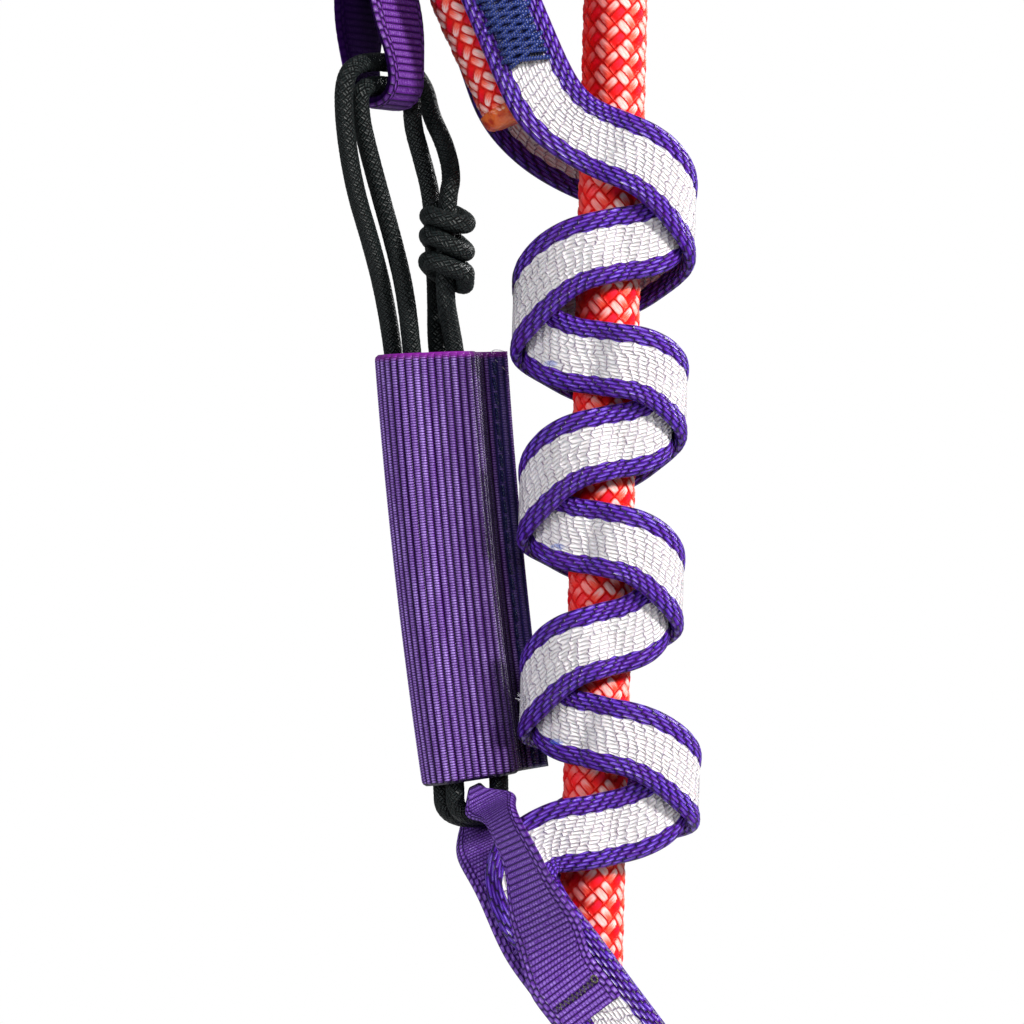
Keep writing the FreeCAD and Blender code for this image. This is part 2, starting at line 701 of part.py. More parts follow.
def pad(centre, along, across, out, length, width, thick):
    """A flat patch of stitches whose inner face is centred on a point and faces against out."""
    a, w = along * (length / 2), across * (width / 2)
    face = [centre - a - w, centre + a - w, centre + a + w, centre - a + w]
    return Part.Face(Part.makePolygon(face + face[:1])).extrude(out * thick)


def bar_tack(place, lean, side):
    """The block of stitches that closes an eye, on the outside of its lead."""
    base, up, across, out = lead_frame(place, lean, side)
    layer = HITCH_T + LAYER_GAP / 2
    centre = base + up * (BAR_TACK_L / 2) + out * (layer + HITCH_T / 2 + TACK_SEAT)
    return pad(centre, up, across, out, BAR_TACK_L, BAR_TACK_W, THREAD_T)


def lower_sling():
    """Folded over the middle of the cord's lower bights, turned edgeways in front, both ends sewn on."""
    across = down_way()[1]
    fore, rear = lower_layer(3), lower_layer(1)
    pin = Vector(0.87, 0, 0.45)
    w, t = SLING_W, SLING_T
    x, z = PIN_AT
    y = TETHER_Y
    half = PIN_LENGTH / 2
    keys = [
        (along_tack(STRAP_END, fore, STRAP_OFFSET), across, w, t),
        (along_tack(14.8, fore, STRAP_OFFSET), across, w, t),
        (along_tack(11.0, fore - 0.2, STRAP_OFFSET + 0.1), across, w, t),
        (at(-6.5, fore - 2.1, -139.2), Vector(0.80, -0.30, 0.52), w, t),
        (at(-9.0, fore - 4.0, -133.6), Vector(0.62, -0.66, 0.42), w, t),
        (at(-10.6, fore - 5.0, -128.5), Vector(0.44, -0.84, 0.28), w, t),
        (at(-12.6, fore - 4.0, -124.4), Vector(0.40, -0.86, 0.25), 10.0, t + 0.1),
        (at(-14.8, y - half - 6.0, -121.2), Vector(0.66, -0.60, 0.42), 8.6, t + 0.3),
        (at(x + 1.2, y - half - 1.8, z - 0.9), Vector(0.88, -0.15, 0.45), 6.4, 2.0),
        (at(x, y - half, z), pin, PIN_D, PIN_D),
        (at(x, y - half * 0.6, z), pin, PIN_D, PIN_D),
        (at(x, y + half * 0.6, z), pin, PIN_D, PIN_D),
        (at(x, y + half, z), pin, PIN_D, PIN_D),
        (at(x + 0.2, y + half + 1.8, z - 1.3), pin, 4.4, 2.2),
        (at(-16.6, y + half + 1.6, -123.6), Vector(0.90, 0, 0.42), 8.0, t + 0.3),
        (at(-15.6, y + 0.3, -126.3), Vector(0.90, 0, 0.42), w, t),
        (at(-14.6, -2.6, -128.3), Vector(0.89, 0, 0.45), w, t),
        (at(-12.6, -7.0, -131.4), Vector(0.85, 0, 0.53), w, t),
        (along_tack(3.5, rear - 0.15, STRAP_OFFSET + 0.3), across, w, t),
        (along_tack(7.2, rear, STRAP_OFFSET), across, w, t),
        (along_tack(11.0, rear, STRAP_OFFSET), across, w, t),
        (along_tack(14.8, rear, STRAP_OFFSET), across, w, t),
        (along_tack(STRAP_END, rear, STRAP_OFFSET), across, w, t),
    ]
    return ribbon([flat(*key) for key in keys], LOWER_SLING_STEP)


def zigzag():
    """The block of stitches that sews the lower sling to the hitch's legs."""
    way, across = down_way()
    face = lower_layer(3) - SLING_T / 2 - TACK_SEAT
    centre = along_tack(ZIGZAG_AT, face, STRAP_OFFSET)
    return pad(centre, way, across, Vector(0, -1, 0), ZIGZAG_L, ZIGZAG_W, THREAD_T)


def upper_frame():
    a = math.radians(UPPER_TURN)
    return Vector(math.cos(a), math.sin(a), 0), Vector(math.sin(a), -math.cos(a), 0)


def upper_point(height, offset):
    """A point of the upper sling at a height, offset to the viewer's side across its thickness."""
    fore = upper_frame()[1]
    x, y, z = UPPER_AT
    return at(x + UPPER_LEAN * (height - z), y, height) + fore * offset


def upper_sling():
    """From one end on the tack, under the cord's upper bights, up to the eye and back to the tack."""
    across = upper_frame()[0]
    layer = SLING_T + LAYER_GAP
    z = UPPER_AT[2]
    r = UPPER_FOLD_R
    low, high = UPPER_TACK
    route = [(high, -layer), (low, -layer), ((low + z) / 2 + 5.0, -0.62 * r), (z + 7.0, -0.93 * r), (z, -r)]
    for degrees in (30, 60, 90, 120, 150):
        a = math.radians(degrees)
        route.append((z - r * math.sin(a), -r * math.cos(a)))
    tack_middle = (low + high) / 2
    route += [(z, r), (z + 7.0, 0.93 * r), ((low + z) / 2 + 5.0, 0.48 * r)]
    route += [(low, 0.0), (tack_middle, 0.0), (high, 0.0), (high + 2.0, -0.8)]
    middle = layer / 2
    route.append(((high + UPPER_EYE_AT) / 2 - 1.0, middle - UPPER_EYE_R * 0.75))
    for degrees in (0, 36, 72, 108, 144, 180):
        a = math.radians(degrees)
        route.append((UPPER_EYE_AT + UPPER_EYE_R * math.sin(a), middle - UPPER_EYE_R * math.cos(a)))
    route += [((high + UPPER_EYE_AT) / 2 - 1.0, middle + UPPER_EYE_R * 0.75), (high + 2.0, layer + 0.8),
              (high, layer), (tack_middle, layer), (low, layer)]
    keys = []
    for height, offset in route:
        share = max(0.0, min(1.0, (height - z) / UPPER_GATHER_H))
        width = UPPER_FOLD_W + (SLING_W - UPPER_FOLD_W) * share
        thick = UPPER_FOLD_T + (SLING_T - UPPER_FOLD_T) * share
        keys.append(flat(upper_point(height, offset), across, width, thick))
    return ribbon(keys, UPPER_SLING_STEP)


def upper_tack():
    across, fore = upper_frame()
    low, high = UPPER_TACK
    layer = SLING_T + LAYER_GAP
    centre = upper_point((low + high) / 2, layer + SLING_T / 2 + UPPER_TACK_SEAT)
    up = unit(upper_point(high, 0) - upper_point(low, 0))
    out = unit(across.cross(up))
    out = out if out.dot(fore) > 0 else out * -1
    return pad(centre, up, across, out, high - low - 2 * UPPER_TACK_END, UPPER_TACK_W, THREAD_T)


def tether():
    save(sleeve(), "sleeve")
    save(seam_thread(), "sleeve_seam_thread")
    save(lower_sling(), "lower_sling")
    save(zigzag(), "lower_sling_tack")
    save(upper_sling(), "upper_sling")
    save(upper_tack(), "upper_sling_tack")


def tacks():
    save(bar_tack(FRONT_LEAD, FRONT_LEAD_LEAN, -1), "front_eye_tack")
    save(bar_tack(BACK_LEAD, BACK_LEAD_LEAN, 1), "back_eye_tack")


rope()
hitch()
tacks()
cords()
tether()
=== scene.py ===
import math

import bpy
import numpy as np
from mathutils import Matrix


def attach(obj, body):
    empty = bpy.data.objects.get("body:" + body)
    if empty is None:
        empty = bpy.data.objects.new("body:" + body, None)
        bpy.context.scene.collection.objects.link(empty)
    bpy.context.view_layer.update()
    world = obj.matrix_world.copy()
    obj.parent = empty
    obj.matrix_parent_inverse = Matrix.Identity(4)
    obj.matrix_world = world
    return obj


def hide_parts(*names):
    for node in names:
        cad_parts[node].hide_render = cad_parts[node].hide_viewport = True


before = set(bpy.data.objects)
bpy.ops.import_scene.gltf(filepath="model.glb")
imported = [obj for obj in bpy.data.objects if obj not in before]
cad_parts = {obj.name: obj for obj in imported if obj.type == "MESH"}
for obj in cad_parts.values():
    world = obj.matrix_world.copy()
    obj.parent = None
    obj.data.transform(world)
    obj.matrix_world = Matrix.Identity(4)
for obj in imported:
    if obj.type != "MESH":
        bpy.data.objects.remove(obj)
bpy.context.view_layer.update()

# Rope: a kernmantle rope whose sheath is braided one over one from doubled yarns, white and pink one
# way and pink and red the other. It hangs over in a bight, and its short upper tail is melted shut.
# All lengths are in millimetres until a mesh is made.
MM = 0.001
ROPE_R = 4.9
BIGHT_R = 12.0
BIGHT_TURN = math.radians(206.2)
BIGHT_STEPS = 6
TAIL_LENGTH = 18.4
ROPE_FOOT = -172.0
SHEATH_STRANDS, SHEATH_SPACING, SHEATH_RISE = 8, 3.8, 0.60
ROPE_STEP, ROPE_AROUND = 0.42, 80


def unit(v):
    v = np.asarray(v, float)
    return v / np.linalg.norm(v, axis=-1, keepdims=True)


def lengths(points):
    return np.concatenate([[0.0], np.cumsum(np.linalg.norm(np.diff(points, axis=0), axis=1))])


def dome(x, power=2.0):
    """A rounded bump over x from -1 to 1, 1 high."""
    return np.sqrt(np.clip(1 - np.abs(x) ** power, 0, 1))


def make_piece(name, verts, faces, material, lie, body, nodes=()):
    """A mesh in metres from points in millimetres, which keep how they lie in the weave."""
    mesh = bpy.data.meshes.new(name)
    mesh.from_pydata((np.asarray(verts) * MM).tolist(), [], faces)
    mesh.validate()
    layer = mesh.attributes.new("lie", "FLOAT_VECTOR", "POINT")
    layer.data.foreach_set("vector", np.asarray(lie, np.float32).ravel())
    mesh.polygons.foreach_set("use_smooth", [True] * len(mesh.polygons))
    mesh.materials.append(material)
    obj = bpy.data.objects.new(name, mesh)
    bpy.context.scene.collection.objects.link(obj)
    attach(obj, body)
    if nodes:
        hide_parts(*nodes)
    return obj


def ring_faces(rows, count, first=0):
    """Quads between successive rings of count points."""
    row = np.arange(rows - 1)[:, None] * count + first
    spot = np.arange(count)[None, :]
    after = (spot + 1) % count
    quads = np.stack([row + spot, row + after, row + count + after, row + count + spot], axis=-1)
    return quads.reshape(-1, 4)


def nurbs_route(name, points):
    """A smooth curve with these control points, and the points along it."""
    curve = bpy.data.curves.new(name, "CURVE")
    curve.dimensions = "3D"
    line = curve.splines.new("NURBS")
    line.points.add(len(points) - 1)
    for spot, p in zip(line.points, points):
        spot.co = (p[0] * MM, p[1] * MM, p[2] * MM, 1.0)
    line.order_u = 3
    line.use_endpoint_u = True
    line.resolution_u = 24
    obj = bpy.data.objects.new(name, curve)
    mesh = bpy.data.meshes.new_from_object(obj)
    spots = np.array([v.co[:] for v in mesh.vertices]) / MM
    bpy.data.objects.remove(obj)
    bpy.data.curves.remove(curve)
    bpy.data.meshes.remove(mesh)
    t = lengths(spots)
    keep = np.concatenate([[True], np.diff(t) > 1e-6])
    return spots[keep]


def carried_frames(points, first):
    """Directions along a line, and two across it that turn as little as they can."""
    along = unit(np.gradient(points, axis=0))
    side = np.zeros_like(points)
    side[0] = unit(first - along[0] * np.dot(first, along[0]))
    for i in range(1, len(points)):
        s = side[i - 1] - along[i] * np.dot(side[i - 1], along[i])
        side[i] = s / np.linalg.norm(s)
    return along, side, np.cross(along, side)


def even_steps(length, step):
    """Places evenly along a length, about a step apart."""
    return np.linspace(0, length, max(3, int(round(length / step)) + 1))


def even(points, step):
    t = lengths(points)
    steps = even_steps(t[-1], step)
    return np.stack([np.interp(steps, t, points[:, i]) for i in range(3)], axis=1), steps


def tube_piece(name, points, radius, step, count, relief, material, body, nodes,
               first=(0, -1, 0), round_ends=0.0):
    """A tube along points whose skin stands out by relief(u, turn), with closed ends."""
    line, steps = even(points, step)
    side, other = carried_frames(line, np.asarray(first, float))[1:]
    reach, turn = np.meshgrid(steps, 2 * np.pi * np.arange(count) / count, indexing="ij")
    stand = radius + relief(reach, turn)
    if round_ends:
        edge = np.minimum(reach, steps[-1] - reach)
        stand = stand * np.where(edge < round_ends, 0.55 + 0.45 * dome(1 - edge / round_ends), 1.0)
    outward = np.cos(turn)[:, :, None] * side[:, None] + np.sin(turn)[:, :, None] * other[:, None]
    skin = line[:, None] + stand[:, :, None] * outward
    verts = np.concatenate([skin.reshape(-1, 3), line[:1], line[-1:]])
    lie = np.stack([reach, np.cos(turn), np.sin(turn)], axis=-1).reshape(-1, 3)
    lie = np.concatenate([lie, [[0, 1, 0], [steps[-1], 1, 0]]])
    faces = ring_faces(len(steps), count)[:, ::-1].tolist()
    last = (len(steps) - 1) * count
    centre = len(steps) * count
    for i in range(count):
        j = (i + 1) % count
        faces.append([centre, i, j])
        faces.append([centre + 1, last + j, last + i])
    return make_piece(name, verts, faces, material, lie, body, nodes), line


# Net adds nodes to a material or a group of nodes. A pattern is worked out from how a point lies in the
# weave, in millimetres along (U) and across (V) the piece, which the piece's points carry.
class Net:
    def __init__(self, tree):
        self.tree = tree

    def link(self, value, socket):
        if hasattr(value, "is_output"):
            self.tree.links.new(value, socket)
        elif isinstance(value, (tuple, list)) and len(socket.default_value) == 4:
            socket.default_value = tuple(value) + (1.0,) * (4 - len(value))
        else:
            socket.default_value = value

    def node(self, kind, **settings):
        node = self.tree.nodes.new(kind)
        for key, value in settings.items():
            setattr(node, key, value)
        return node

    def m(self, operation, a, b=0.0, c=0.0):
        node = self.node("ShaderNodeMath", operation=operation)
        for value, socket in zip((a, b, c), node.inputs):
            self.link(value, socket)
        return node.outputs[0]

    def add(self, a, b):
        return self.m("ADD", a, b)

    def sub(self, a, b):
        return self.m("SUBTRACT", a, b)

    def mul(self, a, b):
        return self.m("MULTIPLY", a, b)

    def lie(self):
        node = self.node("ShaderNodeAttribute", attribute_name="lie")
        split = self.node("ShaderNodeSeparateXYZ")
        self.tree.links.new(node.outputs["Vector"], split.inputs[0])
        return split.outputs

    def pack(self, x, y, z=0.0):
        node = self.node("ShaderNodeCombineXYZ")
        for value, socket in zip((x, y, z), node.inputs):
            self.link(value, socket)
        return node.outputs[0]

    def noise(self, vector, scale=1.0, detail=2.0, roughness=0.5):
        node = self.node("ShaderNodeTexNoise")
        self.link(vector, node.inputs["Vector"])
        node.inputs["Scale"].default_value = scale
        node.inputs["Detail"].default_value = detail
        node.inputs["Roughness"].default_value = roughness
        return node.outputs[0]

    def chance(self, x, y, z=0.0):
        node = self.node("ShaderNodeTexWhiteNoise", noise_dimensions="3D")
        self.link(self.pack(x, y, z), node.inputs["Vector"])
        return node.outputs["Value"]

    def mix(self, fac, a, b):
        node = self.node("ShaderNodeMix", data_type="RGBA")
        self.link(fac, node.inputs[0])
        self.link(a, node.inputs[6])
        self.link(b, node.inputs[7])
        return node.outputs[2]

    def blend(self, fac, a, b):
        return self.m("MULTIPLY_ADD", fac, self.sub(b, a), a)

    def ramp(self, value, low, high):
        node = self.node("ShaderNodeMapRange", interpolation_type="SMOOTHSTEP")
        self.link(value, node.inputs[0])
        self.link(low, node.inputs[1])
        self.link(high, node.inputs[2])
        return node.outputs[0]

    def bump(self, height, distance, normal=None):
        node = self.node("ShaderNodeBump")
        node.inputs["Strength"].default_value = 1.0
        node.inputs["Distance"].default_value = distance * MM
        self.link(height, node.inputs["Height"])
        if normal is not None:
            self.link(normal, node.inputs["Normal"])
        return node.outputs[0]

    def call(self, group, *values):
        node = self.node("ShaderNodeGroup", node_tree=group)
        for value, socket in zip(values, node.inputs):
            self.link(value, socket)
        return node.outputs


def new_group(name, inputs, outputs):
    tree = bpy.data.node_groups.new(name, "ShaderNodeTree")
    for label in inputs:
        tree.interface.new_socket(name=label, in_out="INPUT", socket_type="NodeSocketFloat")
    for label in outputs:
        tree.interface.new_socket(name=label, in_out="OUTPUT", socket_type="NodeSocketFloat")
    net = Net(tree)
    ends = net.node("NodeGroupInput"), net.node("NodeGroupOutput")
    return tree, net, ends[0].outputs, ends[1].inputs


def rounded(net, x, power):
    """1 in the middle of a cell and 0 at its edges, where x runs from -0.5 to 0.5."""
    edge = net.m("POWER", net.m("ABSOLUTE", net.mul(x, 2.0)), power)
    return net.m("SQRT", net.m("MAXIMUM", net.sub(1.0, edge), 0.0))


def braid_group():
    """Two families of strands that cross one over one, each strand of two yarns side by side."""
    tree, net, given, out = new_group("braid", ["U", "Cos", "Sin", "Count", "Spacing"],
                                      ["Height", "Family", "Yarn", "Random", "Fibre", "Along"])
    u, cosine, sine, strands, spacing = list(given)[:5]
    turn = net.m("DIVIDE", net.m("ARCTAN2", sine, cosine), 2 * math.pi)
    round_way = net.mul(turn, strands)
    up = net.m("DIVIDE", u, spacing)
    a, b = net.add(round_way, up), net.sub(round_way, up)
    i, j = net.m("FLOOR", a), net.m("FLOOR", b)
    fa, fb = net.sub(a, i), net.sub(b, j)
    first = net.m("LESS_THAN", net.m("FLOORED_MODULO", net.add(i, j), 2.0), 0.5)
    wide = net.blend(first, fb, fa)
    run = net.blend(first, fa, fb)
    yarn = net.m("GREATER_THAN", wide, 0.5)
    within = net.sub(net.sub(net.mul(wide, 2.0), yarn), 0.5)
    crown = rounded(net, net.mul(net.sub(run, 0.5), 0.99), 2.6)
    height = net.mul(rounded(net, net.mul(within, 0.97), 2.0), crown)
    finer = net.pack(net.mul(run, 1.2), net.mul(wide, 22.0), net.mul(net.add(i, j), 3.7))
    fibre = net.noise(finer, 1.0, 2.0, 0.6)
    for value, socket in zip((height, first, yarn, net.chance(i, j, yarn), fibre, run), out):
        net.link(value, socket)
    return tree


BRAID = braid_group()


def fabric(name, sheen, rough, specular=0.35, subsurface=0.0, tint=(1, 1, 1)):
    """A new material with its shader set up for cloth, and what is needed to add its pattern."""
    material = bpy.data.materials.new(name)
    material.use_nodes = True
    shader = material.node_tree.nodes["Principled BSDF"]
    for socket, value in (("Roughness", rough), ("Specular IOR Level", specular), ("Sheen Weight", sheen),
                          ("Sheen Roughness", 0.4), ("Sheen Tint", tuple(tint) + (1.0,)),
                          ("Subsurface Weight", subsurface), ("Subsurface Scale", 0.0012)):
        shader.inputs[socket].default_value = value
    return material, Net(material.node_tree), shader


def lay_weave(net, shader, colour, height, rise, fibre=None, fine=0.0):
    """Gives a shader its colour and its relief, with the finer relief of the fibres under it."""
    net.link(colour, shader.inputs["Base Color"])
    under = None if fibre is None else net.bump(fibre, fine)
    net.link(net.bump(height, rise, under), shader.inputs["Normal"])


def rope_material():
    material, net, shader = fabric("rope_sheath_braid", sheen=0.03, rough=0.40, specular=0.25,
                                   subsurface=0.25, tint=(1, 0.8, 0.75))
    shader.inputs["Subsurface Radius"].default_value = (1.0, 0.18, 0.12)
    lie = net.lie()
    braid = net.call(BRAID, *list(lie)[:3], SHEATH_STRANDS, SHEATH_SPACING)
    height, family, yarn, random, fibre, along = list(braid)[:6]
    white, pink, salmon = (0.90, 0.66, 0.62), (0.90, 0.38, 0.31), (0.90, 0.10, 0.05)
    red, magenta, gap_glow = (0.86, 0.003, 0.004), (0.84, 0.004, 0.035), (0.80, 0.008, 0.001)
    worn = net.add(along, net.mul(net.sub(fibre, 0.5), 1.3))
    pale = net.mix(net.ramp(worn, 0.80, 0.20), salmon, white)
    pale_other = net.mix(net.ramp(worn, 0.20, 0.85), salmon, white)
    streaked = net.mix(net.ramp(fibre, 0.42, 0.62), white, pink)
    first = net.mix(yarn, streaked, pale)
    second = net.mix(yarn, pale_other, net.mix(net.ramp(along, 0.2, 0.8), red, magenta))
    top = net.mix(family, second, first)
    # Painted glow: the low gaps between the strands are painted a bright orange-red, standing in for light
    # that shines through the yarns.
    colour = net.mix(net.ramp(height, 0.42, 0.86), gap_glow, top)
    # Painted shade: toward the rope's left side, away from the key lamp, the braid is painted a deeper red.
    # Elsewhere a little red is mixed in at random for each crossing.
    painted_left_shade = net.ramp(lie[2], 0.35, -0.9)
    colour = net.mix(net.blend(painted_left_shade, net.mul(random, 0.15), 0.80), colour, red)
    lay_weave(net, shader, colour, height, 0.45, fibre, 0.06)
    return material


def tilted(angle):
    """A way in the plane of the rope's bight, at an angle up from across."""
    return np.array([math.cos(angle), 0.0, math.sin(angle)])


def rope_route():
    step = BIGHT_TURN / BIGHT_STEPS
    corner = BIGHT_R / math.cos(step / 2)
    leave = tilted(BIGHT_TURN) * BIGHT_R
    tail = np.array([-math.sin(BIGHT_TURN), 0.0, math.cos(BIGHT_TURN)])
    points = [np.array([BIGHT_R, 0.0, z]) for z in (ROPE_FOOT, -110.0, -50.0, -10.0)]
    points += [tilted(step * (i + 0.5)) * corner for i in range(BIGHT_STEPS)]
    points += [leave + tail * TAIL_LENGTH * share for share in (0.45, 1.0)]
    return points


def braid_relief(count, spacing, depth):
    """The same crossing strands as the material's, as a height in millimetres."""
    def relief(u, angle):
        turn = angle / (2 * np.pi)
        turn = np.where(turn > 0.5, turn - 1, turn)
        a, b = turn * count + u / spacing, turn * count - u / spacing
        i, j = np.floor(a), np.floor(b)
        first = np.mod(i + j, 2) < 0.5
        wide = np.where(first, a - i, b - j)
        run = np.where(first, b - j, a - i)
        within = 2 * wide - (wide > 0.5) - 0.5
        return depth * (dome(2 * within * 0.97) * dome(2 * (run - 0.5) * 0.99, 2.6) - 1.0)
    return relief


sheath = braid_relief(SHEATH_STRANDS, SHEATH_SPACING, SHEATH_RISE)
rope, rope_line = tube_piece("rope", nurbs_route("rope_line", rope_route()), ROPE_R, ROPE_STEP, ROPE_AROUND,
                             sheath, rope_material(), "rope", ("rope_sheath",))


def melted_material():
    material, net, shader = fabric("melted_sheath", sheen=0.0, rough=0.32, specular=0.5, subsurface=0.4)
    place = net.node("ShaderNodeTexCoord").outputs["Object"]
    patch = net.noise(place, 420.0, 3.0, 0.6)
    colour = net.mix(net.ramp(patch, 0.38, 0.62), (0.42, 0.008, 0.003), (0.70, 0.13, 0.02))
    colour = net.mix(net.ramp(net.noise(place, 900.0, 2.0), 0.62, 0.74), colour, (0.72, 0.38, 0.22))
    lay_weave(net, shader, colour, net.noise(place, 700.0, 4.0, 0.6), 0.35)
    return material


melted = melted_material()


def melted_end(name, centre, along, seed, node):
    """A melted cap: a low dome with folds where the sheath shrank and ran."""
    along = unit(along)
    side = unit(np.cross(along, [0, 1, 0]))
    other = np.cross(along, side)
    local = np.random.default_rng(seed)
    waves = [(k, local.uniform(0, 6.28), local.uniform(0.05, 0.16)) for k in (2, 3, 5, 8)]
    rows, count = 18, 64
    verts, lie = [], []
    for i in range(rows):
        share = i / (rows - 1)
        for c in range(count):
            angle = 2 * math.pi * c / count
            wave = sum(size * math.sin(k * angle + turn) for k, turn, size in waves)
            radius = (ROPE_R + 0.12 + wave * 0.7) * math.sqrt(max(1 - share ** 2.6, 0.0)) + 0.02
            rise = -1.3 + 3.0 * math.sin(share * math.pi / 2) ** 0.8 + wave * 0.9 * (1 - share)
            rise += 0.25 * math.sin(3 * share * math.pi + angle) * share * (1 - share)
            outward = side * (radius * math.cos(angle)) + other * (radius * math.sin(angle))
            verts.append(centre + outward + along * rise)
            lie.append((rise, math.cos(angle), math.sin(angle)))
    faces = ring_faces(rows, count).tolist()
    faces.append(list(range((rows - 1) * count, rows * count)))
    return make_piece(name, verts, faces, melted, lie, "rope", (node,))


tail_way = rope_line[-1] - rope_line[-3]
foot_way = rope_line[0] - rope_line[2]
tail_seal = melted_end("rope_tail_cap", rope_line[-1], tail_way, 3, "rope_tail_seal")
foot_seal = melted_end("rope_foot_cap", rope_line[0], foot_way, 5, "rope_end_seal")

# Hitch: one strip of webbing whose two legs wind round the rope in opposite hands and cross at its
# sides. Its middle is woven white, and its two edges are violet and thick as cords. Each leg ends
# above in a sewn eye, and below, where the two are sewn together, the strip makes a third.
LEVEL = -4.7
HITCH_T, HITCH_W = 1.8, 11.0
SLING_T = 1.4
LAYER_GAP, ROPE_GAP = 0.3, 0.3
HALF_STEP = (HITCH_T + LAYER_GAP) / 2
HITCH_DEPTH = ROPE_R + ROPE_GAP + HITCH_T / 2 + HALF_STEP
FRONT_LEG_HEIGHTS = [-22.3, -29.8, -42.5, -51.5, -53.95, -56.6, -69.0, -79.0, -80.7, -85.2, -96.0, -107.0,
                     -109.4, -114.5, -123.5, -133.2]
BACK_LEG_HEIGHTS = [-25.5, -35.0, -37.2, -44.6, -55.7, -64.3, -66.5, -72.7, -82.5, -92.0, -95.8, -101.8,
                    -109.7, -119.0, -124.1]
RIGHT_REACH = [(-43.0, 12.1), (-70.0, 11.5), (-97.0, 11.7), (-140.0, 14.9)]
LEFT_REACH = [(-56.5, 13.5), (-84.0, 11.8), (-113.0, 10.9), (-140.0, 10.6)]
BACK_STEEPNESS = 1.2
CHANGE_OVER = 0.24
KEY_ANGLE = 10
SIDE_SAG, SIDE_SAG_AT, SIDE_SAG_REACH = 3.4, 85.0, 70.0
SIDE_RISE, SIDE_RISE_AT, SIDE_RISE_REACH = 2.4, -80.0, 65.0
FRONT_LEAD, FRONT_LEAD_LEAN = (-12.9, -10.2), 24.5
BACK_LEAD, BACK_LEAD_LEAN = (-17.6, -9.4), 22.1
EYE_START, EYE_STRAIGHT, EYE_R = 19.0, 16.0, 5.4
TACK_WAY = math.radians(51.7)
TURN_R, TURN_W = 6.2, 10.4
LOWER_EYE_START, LOWER_EYE_STRAIGHT, LOWER_EYE_R = 32.0, 20.0, 5.2
DOWN = np.array([math.cos(TACK_WAY), 0, -math.sin(TACK_WAY)])
DOWN_ACROSS = np.array([math.sin(TACK_WAY), 0, math.cos(TACK_WAY)])
HITCH_STEP = 0.31

# Where a strip's five lines of points run across it, in half widths.
RAILS = np.array([-1.0, -0.5, 0.0, 0.5, 1.0])


def at(x, y, z):
    """A point across, back and up from the hanging rope's axis and a level below the bight's middle."""
    return np.array([BIGHT_R + x, y, LEVEL + z], float)


def through(t, y, at_t):
    """Values at at_t of the natural cubic spline through the values y at t."""
    t, y = np.asarray(t, float), np.asarray(y, float)
    n = len(t)
    h = np.diff(t)
    rise = np.diff(y, axis=0) / h[:, None]
    system = np.eye(n)
    right = np.zeros_like(y)
    for i in range(1, n - 1):
        system[i, i - 1:i + 2] = h[i - 1], 2 * (h[i - 1] + h[i]), h[i]
        right[i] = 6 * (rise[i] - rise[i - 1])
    m = np.linalg.solve(system, right)
    k = np.clip(np.searchsorted(t, at_t) - 1, 0, n - 2)
    a = (t[k + 1] - at_t)[:, None]
    b = (at_t - t[k])[:, None]
    s = h[k][:, None]
    return (m[k] * a ** 3 + m[k + 1] * b ** 3) / (6 * s) + (y[k] / s - m[k] * s / 6) * a + (
        y[k + 1] / s - m[k + 1] * s / 6) * b


def strip(keys, step):
    """Middle surface of a strip through places of five points across, with how far along it lies."""
    rails = np.array([k[0] for k in keys])
    t = lengths(rails[:, 2])
    steps = even_steps(t[-1], step)
    dense = through(t, rails.reshape(len(keys), -1), steps).reshape(len(steps), len(RAILS), 3)
    thick = np.interp(steps, t, [k[1] for k in keys])
    return dense, steps, thick


def strip_grid(dense, shares):
    """Points and normals of the middle surface at shares of the half width."""
    m = len(dense)
    p = through(RAILS, dense.transpose(1, 0, 2).reshape(5, -1), shares).reshape(len(shares), m, 3)
    p = p.transpose(1, 0, 2)
    n = unit(np.cross(np.gradient(p, axis=0), np.gradient(p, axis=1)))
    return p, n


def both_faces(middle, normal, height, u, v):
    """Points round each row, out over one face and back over the other, and how they lie."""
    fore, rear = (middle + normal * (height * side)[:, :, None] for side in (1, -1))
    lie_fore, lie_rear = (np.stack([u, v, side * np.ones_like(u)], axis=-1) for side in (1, -1))
    loop = np.concatenate([fore, rear[:, -2:0:-1]], axis=1)
    return loop, np.concatenate([lie_fore, lie_rear[:, -2:0:-1]], axis=1)


def strip_piece(name, keys, step, shares, width, height, material, body, node):
    """A closed strip. height(u, v, half) is how far each face stands off the middle surface."""
    dense, steps, thick = strip(keys, step)
    middle, normal = strip_grid(dense, shares)
    along = np.repeat(steps[:, None], len(shares), axis=1)
    across = width / 2 * shares[None, :] * np.ones_like(along)
    loop, lie = both_faces(middle, normal, height(along, across, thick[:, None] / 2), along, across)
    rows, count = loop.shape[:2]
    faces = ring_faces(rows, count).tolist()
    last = len(shares) - 2
    for start, turn in ((0, -1), ((rows - 1) * count, 1)):
        for i in range(last + 1):
            cap = [start + i, start + i + 1]
            cap += [start + count - i - 1] if i < last else []
            cap += [start + count - i] if i else []
            faces.append(cap[::turn])
    return make_piece(name, loop.reshape(-1, 3), faces, material, lie.reshape(-1, 3), body, (node,))


def flat(middle, across, width, thick):
    """A place on a strip: its points in a straight row across, and its thickness there."""
    return middle + unit(across) * (width / 2) * RAILS[:, None], thick


def winding_height(heights, quarter):
    """A smooth curve through a leg's heights, one for each quarter turn."""
    i = min(int(quarter), len(heights) - 2)
    t = quarter - i
    ends = [2 * heights[0] - heights[1]] + heights + [2 * heights[-1] - heights[-2]]
    before, a, b, after = ends[i:i + 4]
    slope_a, slope_b = (b - before) / 2, (after - a) / 2
    return ((2 * t ** 3 - 3 * t ** 2 + 1) * a + (t ** 3 - 2 * t ** 2 + t) * slope_a
            + (3 * t ** 2 - 2 * t ** 3) * b + (t ** 3 - t ** 2) * slope_b)


